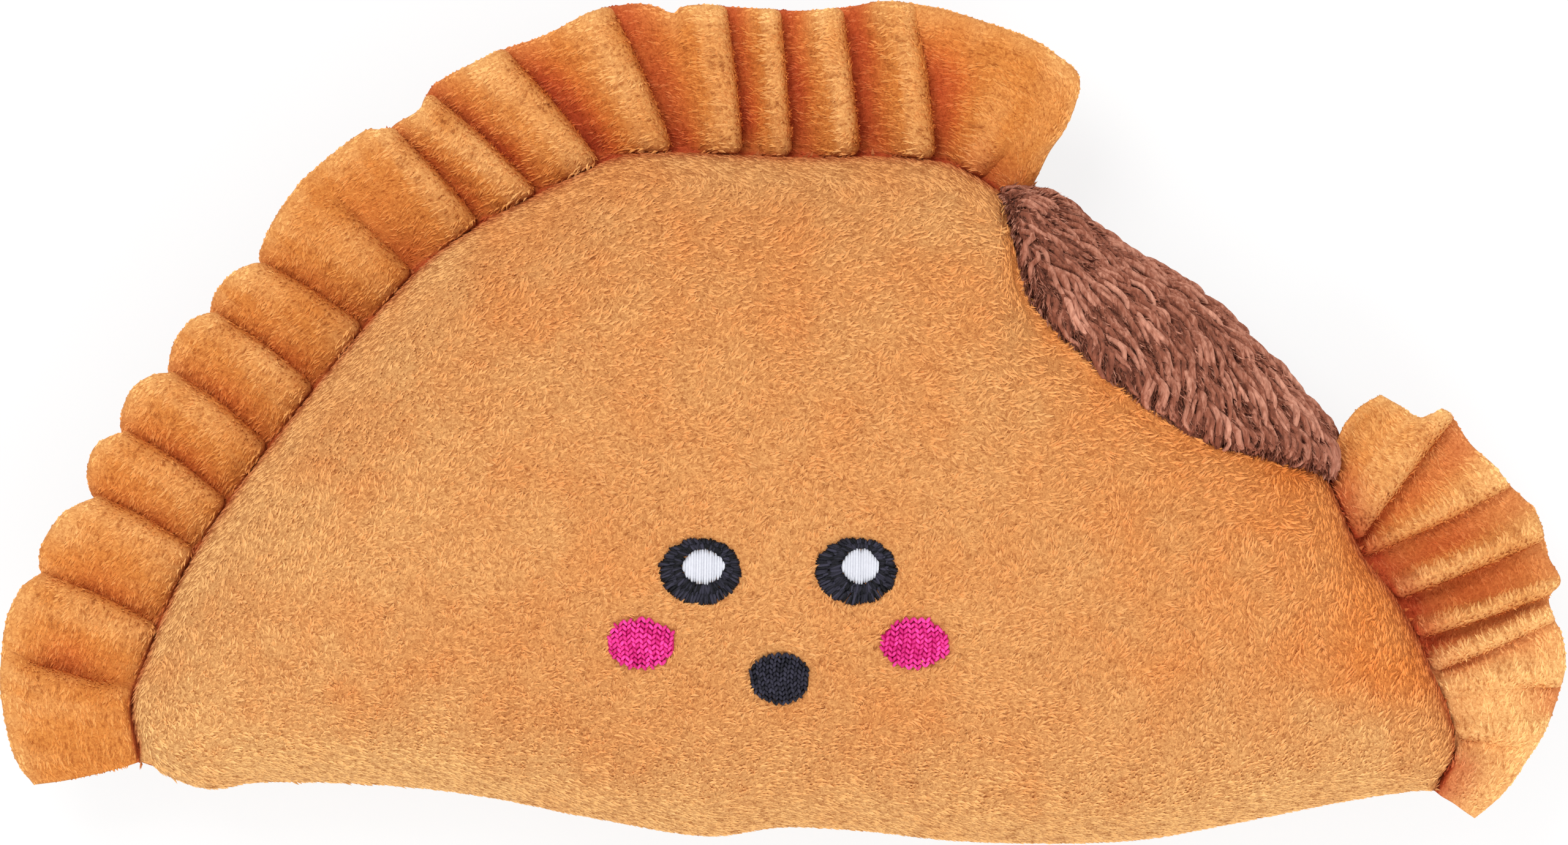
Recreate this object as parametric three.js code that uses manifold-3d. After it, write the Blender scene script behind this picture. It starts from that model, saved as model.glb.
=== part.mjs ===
// Plush dog toy in the shape of an empanada with a bite taken out of it. Two swelling plush panels are sewn
// together round a gathered crust ruffle, a brown fleece gusset closes the bite, the face is embroidered on
// the front panel, and loose stuffing holds a bellows squeaker in the middle.
// Millimetres, +Z up. The toy lies on its back panel: +X runs along the straight side, +Y runs from the
// straight side to the top of the crust, and the face looks up. Z is 0 in the seam plane while it is built.

import * as THREE from "three";
import { mergeVertices } from "three/addons/utils/BufferGeometryUtils.js";
import Module from "manifold-3d";

const wasm = await Module();
wasm.setup();

// Body
const bodyWidth = 194.4; // between the lower corners, without the ruffle
const bodyHeight = 101.3; // from the straight side to the top of the crust seam
const frontCrown = 31; // swell of the front panel over the seam plane
const backDepth = 23; // depth of the back panel's flat below the seam plane
const flatDepth = 0.5; // how far the floor presses the back panel in
const frontBiteRise = 19; // how far the bite's edge stands over the seam plane, front
const backBiteRise = 16.5; // and below it, at the back
const panelThickness = 2.4; // plush pile and backing together
const seamAllowance = 5; // cloth turned in behind each seam
const foldThickness = 1.2; // cloth of the turned-in allowance, pile pressed flat
const clearance = 0.3; // between two pieces that rest on each other

// Crust ruffle
const ruffleWidth = 20; // cut width outside the seam
const ruffleThickness = 2.6; // the folded strip, two layers of plush
const ruffleSeamThickness = 1.8; // the same strip pinched in the seam
const ruffleEdgeThickness = 1; // at its folded outer edge
const ruffleAllowance = 4.4; // what lies between the panels' allowances
const pleatHeight = 4.2; // height of a pleat's crest over its mean
const ruffleDroop = 2; // how far the outer edge hangs below the seam plane
const cornerBlend = 12; // length in which the bottom seam opens to take the ruffle's end

// Bite gusset
const gussetThickness = 3; // fleece
const gussetEndGap = 2; // between the gusset's points and the ends of the bite

// Embroidery
const stitchThickness = 0.8;
const eyeWidth = 12;
const eyeHeight = 9.9;
const highlightWidth = 6;
const highlightHeight = 5.4;
const cheekWidth = 9.6;
const cheekHeight = 7.4;
const mouthWidth = 9;
const mouthHeight = 7.5;

// Squeaker: a blow-moulded bellows with a whistle plugged into its base
const squeakerRadius = 20;
const squeakerHeight = 20;
const squeakerDrop = 9; // its base below the seam plane
const squeakerWall = 0.8;
const squeakerShoulder = 2.5; // rounding at its top and base
const bellowsFold = 1.8; // depth of one fold
const whistleRadius = 8; // plug that fills the base's opening
const whistleDepth = 6;
const whistleFlange = 1.6; // rim that holds the plug in the base, outwards
const whistleFlangeThickness = 1;
const whistleBore = 2; // radius of the air way
const reedLength = 8;
const reedWidth = 4.4;
const reedThickness = 0.3;
const capThickness = 1.4;
const capWall = 2; // width of the ring that holds the reed
const seatRecess = 0.5; // the reed lies this deep in the plug's end
const stuffingGap = 0.6; // round the squeaker

// Outlines, as shares of bodyWidth and bodyHeight from the lower left.
// The crust seam, from the left corner over the top to the bite.
const crustShares = [
  [0.006, 0.118], [0, 0.2], [0.011, 0.267], [0.038, 0.386], [0.072, 0.491], [0.123, 0.621],
  [0.174, 0.742], [0.217, 0.831], [0.262, 0.895], [0.315, 0.948], [0.365, 0.992], [0.407, 1],
  [0.5, 0.993], [0.569, 0.994], [0.62, 0.981], [0.659, 0.937],
];
// The bite's edge, from the crust to the right side.
const biteShares = [
  [0.659, 0.937], [0.664, 0.866], [0.677, 0.777], [0.713, 0.7], [0.754, 0.64], [0.801, 0.583],
  [0.851, 0.557], [0.901, 0.533],
];
// The seam of the short ruffle, from the bite down to the right corner.
const sideShares = [
  [0.901, 0.533], [0.916, 0.467], [0.928, 0.417], [0.951, 0.361], [0.969, 0.301], [0.982, 0.245],
  [0.995, 0.185], [0.998, 0.13], [0.983, 0.076],
];
// The straight side, from the left corner to the right one, puckered where the seam draws it in.
const baseShares = [
  [0.006, 0.118], [0.028, 0.096], [0.06, 0.079], [0.102, 0.089], [0.194, 0.084], [0.268, 0.067],
  [0.342, 0.039], [0.43, 0.011], [0.49, 0.023], [0.546, 0.019], [0.62, 0.004], [0.703, 0],
  [0.768, 0.007], [0.842, 0.033], [0.916, 0.061], [0.962, 0.074], [0.983, 0.076],
];
// The gusset's crest, which stands out of the bite.
const gussetShares = [
  [0.669, 0.924], [0.696, 0.928], [0.716, 0.9], [0.74, 0.866], [0.771, 0.83], [0.8, 0.795],
  [0.822, 0.76], [0.842, 0.724], [0.861, 0.689], [0.877, 0.653], [0.895, 0.618], [0.904, 0.585],
  [0.904, 0.548],
];

// Pleats: where a crease leaves the seam, as a share of the seam's length; how far it reaches and leans along
// the seam, as shares of ruffleWidth; and how far the lobe after it stands out past its two creases.
const longPleatShares = [
  [0, 0.82, -0.06, 0.06], [0.065, 0.99, -0.04, 0.05], [0.113, 0.93, 0.03, 0.13], [0.183, 0.87, 0, 0.1],
  [0.23, 0.95, -0.01, 0.13], [0.285, 0.9, 0, 0.13], [0.347, 0.93, -0.02, 0.13], [0.41, 0.89, -0.1, 0.14],
  [0.476, 1.08, 0.04, 0.05], [0.535, 0.96, -0.06, 0.1], [0.593, 1.06, -0.27, 0], [0.665, 0.97, -0.55, 0.1],
  [0.715, 1.07, -0.39, -0.02], [0.77, 1.11, -0.09, -0.01], [0.812, 1.08, -0.08, 0.01],
  [0.87, 1.1, -0.14, 0.02], [0.936, 1.11, -0.31, 0.03], [0.973, 1.08, -0.07, 0.04], [1, 0.97, 0, 0],
];
const shortPleatShares = [
  [0, 0.55, -0.31, 0.2], [0.2, 1.01, -0.53, 0.08], [0.29, 1.15, 0.22, 0.04], [0.413, 1.09, 0.31, 0.04],
  [0.553, 0.95, 0.18, 0.1], [0.665, 0.91, 0.25, 0.04], [0.794, 0.62, 0.22, 0.12], [1, 0.35, 0.03, 0],
];
const pleatStepShares = [0, 0.14, 0.36, 0.64, 0.86]; // places across one pleat, close to its crease
const ruffleRowShares = [0, 0.22, 0.55, 0.9, 1]; // rows from the seam to the outer edge

// Centres of the embroidered shapes.
const leftEyeShares = [0.427, 0.393];
const rightEyeShares = [0.545, 0.393];
const leftHighlightShares = [0.429, 0.399];
const rightHighlightShares = [0.547, 0.4];
const leftCheekShares = [0.382, 0.288];
const rightCheekShares = [0.589, 0.288];
const mouthShares = [0.487, 0.237];
const squeakerShares = [0.495, 0.43];

// Shape of the swell
const frontArchShare = 1.1; // roundness of a section from seam to seam
const backArchShare = 0.55; // flatter at the back
const frontReachShare = 2.4; // how soon the swell levels out from the corners
const backReachShare = 3.6;
const swellRiseShare = 0.8;
const biteBellShare = 0.5; // how steeply the bite's edge rises from its ends
const thicknessLimitShare = 0.22; // a panel is never thicker than this part of its own swell
const lipLimitShare = 0.36; // and its allowance never wider than this part of its span
const tuckShare = 0.2; // how soon the ruffle's allowance widens from the ruffle's ends
const foldLimitShare = 0.1;
const gussetEdgeShare = 0.8; // of the fleece's thickness, at the seams with the panels

// Steps
const crustSteps = 18;
const biteSteps = 10;
const sideSteps = 6;
const archSteps = 12;
const gussetSteps = 12;
const bulgeSteps = 10;
const spokes = 24;
const roundSteps = 40;
const folds = 3;

const flat = (x, y, z = 0) => new THREE.Vector3(x, y, z);
const clamp = THREE.MathUtils.clamp;
const lerp = THREE.MathUtils.lerp;
const ease = (x) => THREE.MathUtils.smoothstep(x, 0, 1);

const place = ([x, y]) => new THREE.Vector2((x - 0.5) * bodyWidth, (y - 0.5) * bodyHeight);
const outline = (shares) => new THREE.SplineCurve(shares.map(place));
const crust = outline(crustShares);
const bite = outline(biteShares);
const side = outline(sideShares);
const base = outline(baseShares);
const gussetCrest = outline(gussetShares);

// Closed solid from points and triangles: shared vertices merge, triangles without area go, and the faces
// are turned to point out.
function closedGeometry(points, triangles) {
  const loose = new THREE.BufferGeometry().setFromPoints(points);
  loose.setIndex(triangles);
  const merged = mergeVertices(loose, clearance / 30);
  const at = merged.attributes.position;
  const kept = [];
  let volume = 0;
  for (let i = 0; i < merged.index.count; i += 3) {
    const [a, b, c] = [0, 1, 2].map((k) => merged.index.getX(i + k));
    if (a === b || b === c || c === a) continue;
    kept.push(a, b, c);
    const [p, q, r] = [a, b, c].map((k) => new THREE.Vector3().fromBufferAttribute(at, k));
    volume += p.dot(q.cross(r));
  }
  if (volume < 0) kept.reverse();
  merged.setIndex(kept);
  merged.computeVertexNormals();
  return merged;
}

// A sheet between two grids of points that have the same rows and columns, with its edges closed.
function sheetGeometry(outer, inner) {
  const columns = outer.length;
  const rows = outer[0].length;
  const points = [...outer.flat(), ...inner.flat()];
  const under = columns * rows;
  const at = (c, r) => c * rows + r;
  const triangles = [];
  const quad = (a, b, c, d) => triangles.push(a, b, c, a, c, d);
  for (let c = 0; c + 1 < columns; c++)
    for (let r = 0; r + 1 < rows; r++) {
      quad(at(c, r), at(c + 1, r), at(c + 1, r + 1), at(c, r + 1));
      quad(under + at(c, r), under + at(c, r + 1), under + at(c + 1, r + 1), under + at(c + 1, r));
    }
  for (let c = 0; c + 1 < columns; c++) {
    quad(under + at(c, 0), under + at(c + 1, 0), at(c + 1, 0), at(c, 0));
    const last = rows - 1;
    quad(at(c, last), at(c + 1, last), under + at(c + 1, last), under + at(c, last));
  }
  for (let r = 0; r + 1 < rows; r++) {
    quad(at(0, r), at(0, r + 1), under + at(0, r + 1), under + at(0, r));
    const last = columns - 1;
    quad(under + at(last, r), under + at(last, r + 1), at(last, r + 1), at(last, r));
  }
  return closedGeometry(points, triangles);
}

// A ring-shaped sheet, as a sheet whose first and last columns meet, with only its two rims closed.
function ringGeometry(outer, inner) {
  const columns = outer.length;
  const rows = outer[0].length;
  const points = [...outer.flat(), ...inner.flat()];
  const under = columns * rows;
  const at = (c, r) => (c % columns) * rows + r;
  const triangles = [];
  const quad = (a, b, c, d) => triangles.push(a, b, c, a, c, d);
  for (let c = 0; c < columns; c++) {
    for (let r = 0; r + 1 < rows; r++) {
      quad(at(c, r), at(c + 1, r), at(c + 1, r + 1), at(c, r + 1));
      quad(under + at(c, r), under + at(c, r + 1), under + at(c + 1, r + 1), under + at(c + 1, r));
    }
    quad(under + at(c, 0), under + at(c + 1, 0), at(c + 1, 0), at(c, 0));
    const last = rows - 1;
    quad(at(c, last), at(c + 1, last), under + at(c + 1, last), under + at(c, last));
  }
  return closedGeometry(points, triangles);
}

// A turned solid from a profile of [radius, height] that closes on itself or on the axis.
function turnedGeometry(profile) {
  const turned = new THREE.LatheGeometry(profile.map(([r, z]) => new THREE.Vector2(r, z)), roundSteps);
  turned.rotateX(Math.PI / 2);
  const at = turned.attributes.position;
  const points = Array.from({ length: at.count }, (_, i) => new THREE.Vector3().fromBufferAttribute(at, i));
  return closedGeometry(points, [...turned.index.array]);
}

function manifoldOf(geometry) {
  return new wasm.Manifold(
    new wasm.Mesh({
      numProp: 3,
      vertProperties: new Float32Array(geometry.attributes.position.array),
      triVerts: new Uint32Array(geometry.index.array),
    }),
  );
}

// What is left of one solid when another is cut out of it.
function cutGeometry(solid, tool) {
  const mesh = manifoldOf(solid).subtract(manifoldOf(tool)).getMesh();
  const points = [];
  for (let i = 0; i < mesh.vertProperties.length; i += mesh.numProp)
    points.push(flat(...mesh.vertProperties.slice(i, i + 3)));
  return closedGeometry(points, [...mesh.triVerts]);
}

// The body's columns run from a foot on the straight side to a head on the crust, the bite or the side.
// Each knows its place along the toy, its place on the bite, how far its head is from the bite's ends, and
// how squarely it meets the seam there. They lie closer near the bite's ends, where its edge rises fast.
function bodyColumns() {
  const lengths = [crust, bite, side].map((curve) => curve.getLength());
  const whole = lengths[0] + lengths[1] + lengths[2];
  const columns = [];
  const add = (curve, share, before, onBite) => {
    const along = (before + share * curve.getLength()) / whole;
    const fromBite = onBite === null ? (curve === crust ? 1 - share : share) * curve.getLength() : 0;
    const foot = base.getPointAt(along);
    const head = curve.getPointAt(share);
    const square = Math.abs(head.clone().sub(foot).normalize().cross(curve.getTangentAt(share)));
    columns.push({ along, onBite, fromBite, foot, head, square });
  };
  for (let i = 0; i < crustSteps; i++) add(crust, i / crustSteps, 0, null);
  for (let i = 0; i <= biteSteps; i++) {
    const share = (1 - Math.cos((Math.PI * i) / biteSteps)) / 2;
    add(bite, share, lengths[0], share);
  }
  for (let i = 1; i <= sideSteps; i++) add(side, i / sideSteps, lengths[0] + lengths[1], null);
  return columns;
}

const ruffleGap = ruffleSeamThickness / 2 + clearance; // a panel's rim over the seam plane, at the ruffle
const swell = (along, reach) => (1 - Math.abs(2 * along - 1) ** reach) ** swellRiseShare;
const bell = (share) => Math.sin(Math.PI * share) ** biteBellShare;

// How far the ruffle reaches in behind its seam, which narrows to nothing at its two ends.
const tuck = (fromEnd) => Math.min(ruffleAllowance, fromEnd * tuckShare);

// The seam of the straight side opens near its ends, where the ruffle's ends are caught in it.
function footGap(along) {
  const toCorner = Math.min(along, 1 - along) * base.getLength();
  return lerp(ruffleGap, clearance / 2, ease(toCorner / cornerBlend));
}

// One section of a panel in its own plane, as [distance from the foot, height]: the outer skin, the skin set
// in by a depth, and where the allowances end. `depth` is measured along the section's normals.
function section(column, panel) {
  const span = column.head.distanceTo(column.foot);
  const crown = panel.crown * swell(column.along, panel.reach);
  const rise = column.onBite === null ? 0 : panel.biteRise * bell(column.onBite);
  const sine = crown > 0 ? Math.min(rise / crown, 1) ** (1 / panel.arch) : 0;
  const end = Math.PI - Math.asin(sine);
  const foot = footGap(column.along);
  const skin = [];
  for (let i = 0; i <= archSteps; i++) {
    const turn = (end * i) / archSteps;
    const share = (1 - Math.cos(turn)) / (1 - Math.cos(end));
    const arch = crown * Math.max(Math.sin(turn), 0) ** panel.arch;
    skin.push([span * share, Math.min(lerp(foot, ruffleGap, share) + arch, panel.limit)]);
  }
  const thickness = Math.min(panelThickness, crown * thicknessLimitShare);
  const fold = Math.min(foldThickness, span * foldLimitShare);
  const lip = Math.min(seamAllowance, span * lipLimitShare);
  const headLip = (tuck(column.fromBite) + seamAllowance - ruffleAllowance) / column.square;
  return {
    span, skin, thickness, fold, onBite: rise > 0,
    footTip: Math.max(lip, thickness),
    headTip: clamp(headLip, thickness, Math.max(span * lipLimitShare, thickness)),
  };
}

// The section's skin set in by a depth, first and last point included.
function setIn(cut, depth) {
  const { skin } = cut;
  return skin.map(([s, z], i) => {
    const [s0, z0] = skin[Math.max(i - 1, 0)];
    const [s1, z1] = skin[Math.min(i + 1, skin.length - 1)];
    const size = Math.hypot(s1 - s0, z1 - z0) || 1;
    return [s + (depth * (z1 - z0)) / size, z - (depth * (s1 - s0)) / size];
  });
}

// Carries a section's points to their place in space, over the seam plane or mirrored below it.
function standUp(column, path, down) {
  const along = column.head.clone().sub(column.foot).normalize();
  return path.map(([s, z]) =>
    flat(column.foot.x + along.x * s, column.foot.y + along.y * s, down ? -z : z));
}

// A plush panel: a swelling sheet whose rim turns in behind the seams as a flat allowance.
function panelGeometry(panel) {
  const outer = [];
  const inner = [];
  for (const column of bodyColumns()) {
    const cut = section(column, panel);
    const { skin, span, thickness, fold, footTip, headTip } = cut;
    const lining = setIn(cut, thickness);
    const foot = skin[0][1];
    const head = skin[archSteps][1];
    const tipOut = [footTip, foot];
    const tipIn = [footTip, foot + fold];
    lining[0] = [thickness, foot + fold];
    let headOut = [span - headTip, head];
    let headIn = [span - headTip, head + fold];
    if (cut.onBite) headOut = headIn = lining[archSteps];
    else lining[archSteps] = [span - thickness, head + fold];
    outer.push(standUp(column, [tipOut, ...skin, headOut], panel.down));
    inner.push(standUp(column, [tipIn, ...lining, headIn], panel.down));
  }
  return sheetGeometry(outer, inner);
}

// Half of the stuffing: it fills a panel up to its lining, steps over the allowances, and is cut by the
// squeaker's room.
function stuffingGeometry(panel) {
  const top = [];
  const floor = [];
  const cutLevel = clearance / 2;
  for (const column of bodyColumns().slice(2, -2)) {
    const cut = section(column, panel);
    const { skin, span, thickness, fold, footTip, headTip } = cut;
    const depth = thickness + clearance;
    const body = setIn(cut, depth);
    const foot = skin[0][1] + fold + clearance;
    const head = skin[archSteps][1] + fold + clearance;
    const first = footTip + clearance;
    const last = span - (cut.onBite ? depth : headTip + clearance);
    body[0] = [depth, foot];
    body[archSteps] = cut.onBite ? [Math.min(body[archSteps][0], last), body[archSteps][1]]
      : [span - depth, head];
    const path = [[first, cutLevel], [first, foot], ...body];
    path.push([last, cut.onBite ? body[archSteps][1] : head], [last, cutLevel]);
    for (const point of path) point[1] = Math.max(point[1], cutLevel);
    top.push(standUp(column, path, panel.down));
    const ground = path.map((_, i) => [lerp(first, last, i / (path.length - 1)), cutLevel]);
    floor.push(standUp(column, ground, panel.down));
  }
  return cutGeometry(sheetGeometry(top, floor), squeakerRoom());
}

// One column of the gusset: its seam on the bite's edge, the way out to the crest, and its two heights.
function gussetColumn(share) {
  const root = bite.getPointAt(share);
  const crest = gussetCrest.getPointAt(share);
  const width = root.distanceTo(crest);
  const way = crest.sub(root).normalize();
  const front = ruffleGap + frontBiteRise * bell(share);
  const back = ruffleGap + backBiteRise * bell(share);
  return { root, way, width, front, back };
}

// The gusset's bulge at one column, as points of [distance out from the bite's edge, height].
function bulge(column) {
  const { width, front, back } = column;
  const start = clearance + Math.min(gussetThickness * gussetEdgeShare, width / 3);
  return Array.from({ length: bulgeSteps + 1 }, (_, i) => {
    const q = (2 * i) / bulgeSteps - 1;
    return [lerp(start, width, 1 - q * q), q * (q > 0 ? front : back)];
  });
}

function bulgeSetIn(column, depth) {
  const cut = { skin: bulge(column) };
  return setIn(cut, -depth).map(([s, z]) => [Math.max(s, clearance), z]);
}

const outOf = (column, path) =>
  path.map(([s, z]) => flat(column.root.x + column.way.x * s, column.root.y + column.way.y * s, z));

function gussetColumns() {
  const end = gussetEndGap / bite.getLength();
  return Array.from({ length: gussetSteps + 1 }, (_, i) =>
    gussetColumn(lerp(end, 1 - end, (1 - Math.cos((Math.PI * i) / gussetSteps)) / 2)));
}

// The brown fleece in the bite, a sheet that bulges out between the two panels' edges.
function gussetGeometry() {
  const depth = (column) => Math.min(gussetThickness, column.width / 3);
  return sheetGeometry(
    gussetColumns().map((column) => outOf(column, bulge(column))),
    gussetColumns().map((column) => outOf(column, bulgeSetIn(column, depth(column)))),
  );
}

// The stuffing pushed into the gusset, flat on the side where it meets the rest.
function biteStuffingGeometry() {
  const outer = [];
  const wall = [];
  for (const column of gussetColumns().slice(1, -1)) {
    const depth = gussetThickness + clearance;
    const low = (z) => z * (1 - depth / Math.max(column.front, depth * 2));
    const path = bulgeSetIn(column, depth).map(([s, z]) => [Math.max(s - clearance, 0), low(z)]);
    path[0][0] = path[bulgeSteps][0] = 0;
    outer.push(outOf(column, path));
    wall.push(outOf(column, path.map(([, z]) => [0, z])));
  }
  return sheetGeometry(outer, wall);
}

// Reads the pleat table at one place: the crease before it and the way across the pleat give the seam point,
// the outer point and the height of the wave there.
function pleatPlace(seam, pleats, index, step) {
  const [at0, reach0, lean0, lobe] = pleats[index];
  const [at1, reach1, lean1] = pleats[Math.min(index + 1, pleats.length - 1)];
  const share = lerp(at0, at1, step);
  const point = seam.getPointAt(share);
  const along = seam.getTangentAt(share);
  const out = new THREE.Vector2(-along.y, along.x);
  const reach = lerp(reach0, reach1, step) + lobe * Math.sin(Math.PI * step);
  const lean = lerp(lean0, lean1, step);
  const arm = out.clone().multiplyScalar(reach).addScaledVector(along, lean).multiplyScalar(ruffleWidth);
  const wave = 2 * Math.abs(Math.sin(Math.PI * step)) ** 0.7 - 1;
  return { share, point, out, arm, wave };
}

// The gathered crust: a folded strip pinched in the seam, whose pleats grow outwards from it. The thickness
// is measured upright, and more of it is given where the pleats are steep.
function ruffleGeometry(seam, pleats) {
  const outer = [];
  const inner = [];
  const places = [];
  pleats.forEach((_, index) => {
    const steps = index + 1 < pleats.length ? pleatStepShares : [0];
    for (const step of steps) places.push(pleatPlace(seam, pleats, index, step));
  });
  for (const { share, point, out, arm, wave } of places) {
    const inward = tuck(Math.min(share, 1 - share) * seam.getLength());
    const half = ruffleSeamThickness / 2;
    const top = [flat(point.x - out.x * inward, point.y - out.y * inward, half)];
    const low = [flat(point.x - out.x * inward, point.y - out.y * inward, -half)];
    for (const row of ruffleRowShares) {
      const full = lerp(ruffleSeamThickness, ruffleThickness, ease(row * 3));
      const steep = 1 + 0.5 * (1 - Math.abs(wave)) * ease(row * 2);
      const thick = row === 1 ? ruffleEdgeThickness : full * steep;
      const level = pleatHeight * wave * ease(row * 1.6) - ruffleDroop * row * row;
      top.push(flat(point.x + arm.x * row, point.y + arm.y * row, level + thick / 2));
      low.push(flat(point.x + arm.x * row, point.y + arm.y * row, level - thick / 2));
    }
    outer.push(top);
    inner.push(low);
  }
  return sheetGeometry(outer, inner);
}

// The height of a panel's outer skin over a point of the seam plane.
function heightOn(mesh, x, y) {
  const ray = new THREE.Raycaster(flat(x, y, frontCrown * 2), flat(0, 0, -1));
  return ray.intersectObject(mesh)[0].point.z;
}

// An oval of stitches lying on a panel, with an oval hole where another colour fills it.
function patchGeometry(mesh, centreShares, width, height, hole) {
  const centre = place(centreShares);
  const holeCentre = hole ? place(hole.shares) : centre;
  const bottom = [];
  const top = [];
  for (let k = 0; k < spokes; k++) {
    const turn = (2 * Math.PI * k) / spokes;
    const rim = new THREE.Vector2(Math.cos(turn) * width, Math.sin(turn) * height).divideScalar(2);
    rim.add(centre);
    const start = new THREE.Vector2(0, 0);
    if (hole) {
      const grow = 2 * clearance;
      start.set(Math.cos(turn) * (hole.width + grow), Math.sin(turn) * (hole.height + grow)).divideScalar(2);
    }
    start.add(holeCentre);
    const row = [0, 0.5, 1].map((share) => start.clone().lerp(rim, share));
    const levels = row.map((p) => heightOn(mesh, p.x, p.y) + clearance);
    bottom.push(row.map((p, i) => flat(p.x, p.y, levels[i])));
    top.push(row.map((p, i) => flat(p.x, p.y, levels[i] + stitchThickness)));
  }
  return ringGeometry(top, bottom);
}

// The bellows: a drum with folds in its wall, closed above and open at the base for the whistle.
function bellowsGeometry() {
  const opening = whistleRadius + clearance;
  const wall = squeakerWall;
  const low = squeakerShoulder;
  const high = squeakerHeight - squeakerShoulder;
  const skin = [[opening, 0], [squeakerRadius - squeakerShoulder, 0]];
  const lining = [[opening, wall], [squeakerRadius - squeakerShoulder - wall, wall]];
  for (let i = 0; i <= 2 * folds; i++) {
    const radius = squeakerRadius - (i % 2 ? bellowsFold : 0);
    skin.push([radius, lerp(low, high, i / (2 * folds))]);
    lining.push([radius - wall, lerp(low + wall / 2, high - wall / 2, i / (2 * folds))]);
  }
  skin.push([squeakerRadius - squeakerShoulder, squeakerHeight], [0, squeakerHeight]);
  lining.push([squeakerRadius - squeakerShoulder - wall, squeakerHeight - wall], [0, squeakerHeight - wall]);
  return turnedGeometry([...skin, ...lining.reverse(), skin[0]]);
}

// The room for the squeaker in the stuffing, with its whistle's rim.
function squeakerRoom() {
  const radius = squeakerRadius + stuffingGap;
  const rim = whistleRadius + whistleFlange + stuffingGap;
  const under = -(whistleFlangeThickness + clearance + stuffingGap);
  const room = turnedGeometry([
    [0, under], [rim, under], [rim, -stuffingGap], [radius, -stuffingGap],
    [radius, squeakerHeight + stuffingGap], [0, squeakerHeight + stuffingGap],
  ]);
  const centre = place(squeakerShares);
  return room.translate(centre.x, centre.y, -squeakerDrop);
}

// The plug in the base's opening, with the air way through it and a seat for the reed at its inner end.
function whistleSeatGeometry() {
  const flangeTop = -clearance;
  const flangeLow = flangeTop - whistleFlangeThickness;
  const seat = capWall + whistleBore + clearance;
  return turnedGeometry([
    [whistleBore, flangeLow], [whistleRadius + whistleFlange, flangeLow],
    [whistleRadius + whistleFlange, flangeTop], [whistleRadius, flangeTop],
    [whistleRadius, whistleDepth], [seat, whistleDepth], [seat, whistleDepth - seatRecess],
    [whistleBore, whistleDepth - seatRecess], [whistleBore, flangeLow],
  ]);
}

// The reed lies across the air way, on the plug's seat.
function reedGeometry() {
  const level = whistleDepth + clearance + reedThickness / 2;
  const box = new THREE.BoxGeometry(reedLength, reedWidth, reedThickness).translate(0, 0, level);
  const at = box.attributes.position;
  const points = Array.from({ length: at.count }, (_, i) => new THREE.Vector3().fromBufferAttribute(at, i));
  return closedGeometry(points, [...box.index.array]);
}

// The ring that clips over the reed and holds it to the plug.
function capGeometry() {
  const low = whistleDepth + reedThickness + 2 * clearance;
  return turnedGeometry([
    [whistleRadius - capWall, low], [whistleRadius, low], [whistleRadius, low + capThickness],
    [whistleRadius - capWall, low + capThickness], [whistleRadius - capWall, low],
  ]);
}

const cloth = (color, roughness = 0.95) =>
  new THREE.MeshStandardMaterial({ color, roughness, metalness: 0 });
const materials = {
  dough: cloth("#dd9558"),
  crust: cloth("#dd8a45"),
  filling: cloth("#995d49", 1),
  black: cloth("#27252e", 0.6),
  white: cloth("#e0e3ee", 0.6),
  pink: cloth("#e5318b", 0.6),
  wadding: cloth("#efeeea", 1),
  bellows: cloth("#e9e6dc", 0.45),
  whistle: cloth("#d8d8d4", 0.4),
};

function named(name, geometry, material) {
  const mesh = new THREE.Mesh(geometry, material);
  mesh.name = name;
  return mesh;
}

const frontPanel = {
  crown: frontCrown, arch: frontArchShare, reach: frontReachShare, biteRise: frontBiteRise,
  limit: Infinity, down: false,
};
const backPanel = {
  crown: backDepth + flatDepth - (ruffleGap + clearance / 2) / 2, arch: backArchShare,
  reach: backReachShare, biteRise: backBiteRise, limit: backDepth, down: true,
};

function face(front) {
  const patch = (name, shares, width, height, material, hole) =>
    named(name, patchGeometry(front, shares, width, height, hole), material);
  const highlight = (shares) => ({ shares, width: highlightWidth, height: highlightHeight });
  const { black, white, pink } = materials;
  const group = new THREE.Group();
  group.add(
    patch("left_eye_ring", leftEyeShares, eyeWidth, eyeHeight, black, highlight(leftHighlightShares)),
    patch("right_eye_ring", rightEyeShares, eyeWidth, eyeHeight, black, highlight(rightHighlightShares)),
    patch("left_eye_highlight", leftHighlightShares, highlightWidth, highlightHeight, white),
    patch("right_eye_highlight", rightHighlightShares, highlightWidth, highlightHeight, white),
    patch("left_cheek", leftCheekShares, cheekWidth, cheekHeight, pink),
    patch("right_cheek", rightCheekShares, cheekWidth, cheekHeight, pink),
    patch("mouth", mouthShares, mouthWidth, mouthHeight, black),
  );
  return group;
}

function squeaker() {
  const group = new THREE.Group();
  const centre = place(squeakerShares);
  group.position.set(centre.x, centre.y, -squeakerDrop);
  group.add(
    named("squeaker_bellows", bellowsGeometry(), materials.bellows),
    named("whistle_seat", whistleSeatGeometry(), materials.whistle),
    named("whistle_reed", reedGeometry(), materials.whistle),
    named("whistle_cap", capGeometry(), materials.whistle),
  );
  return group;
}

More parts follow.
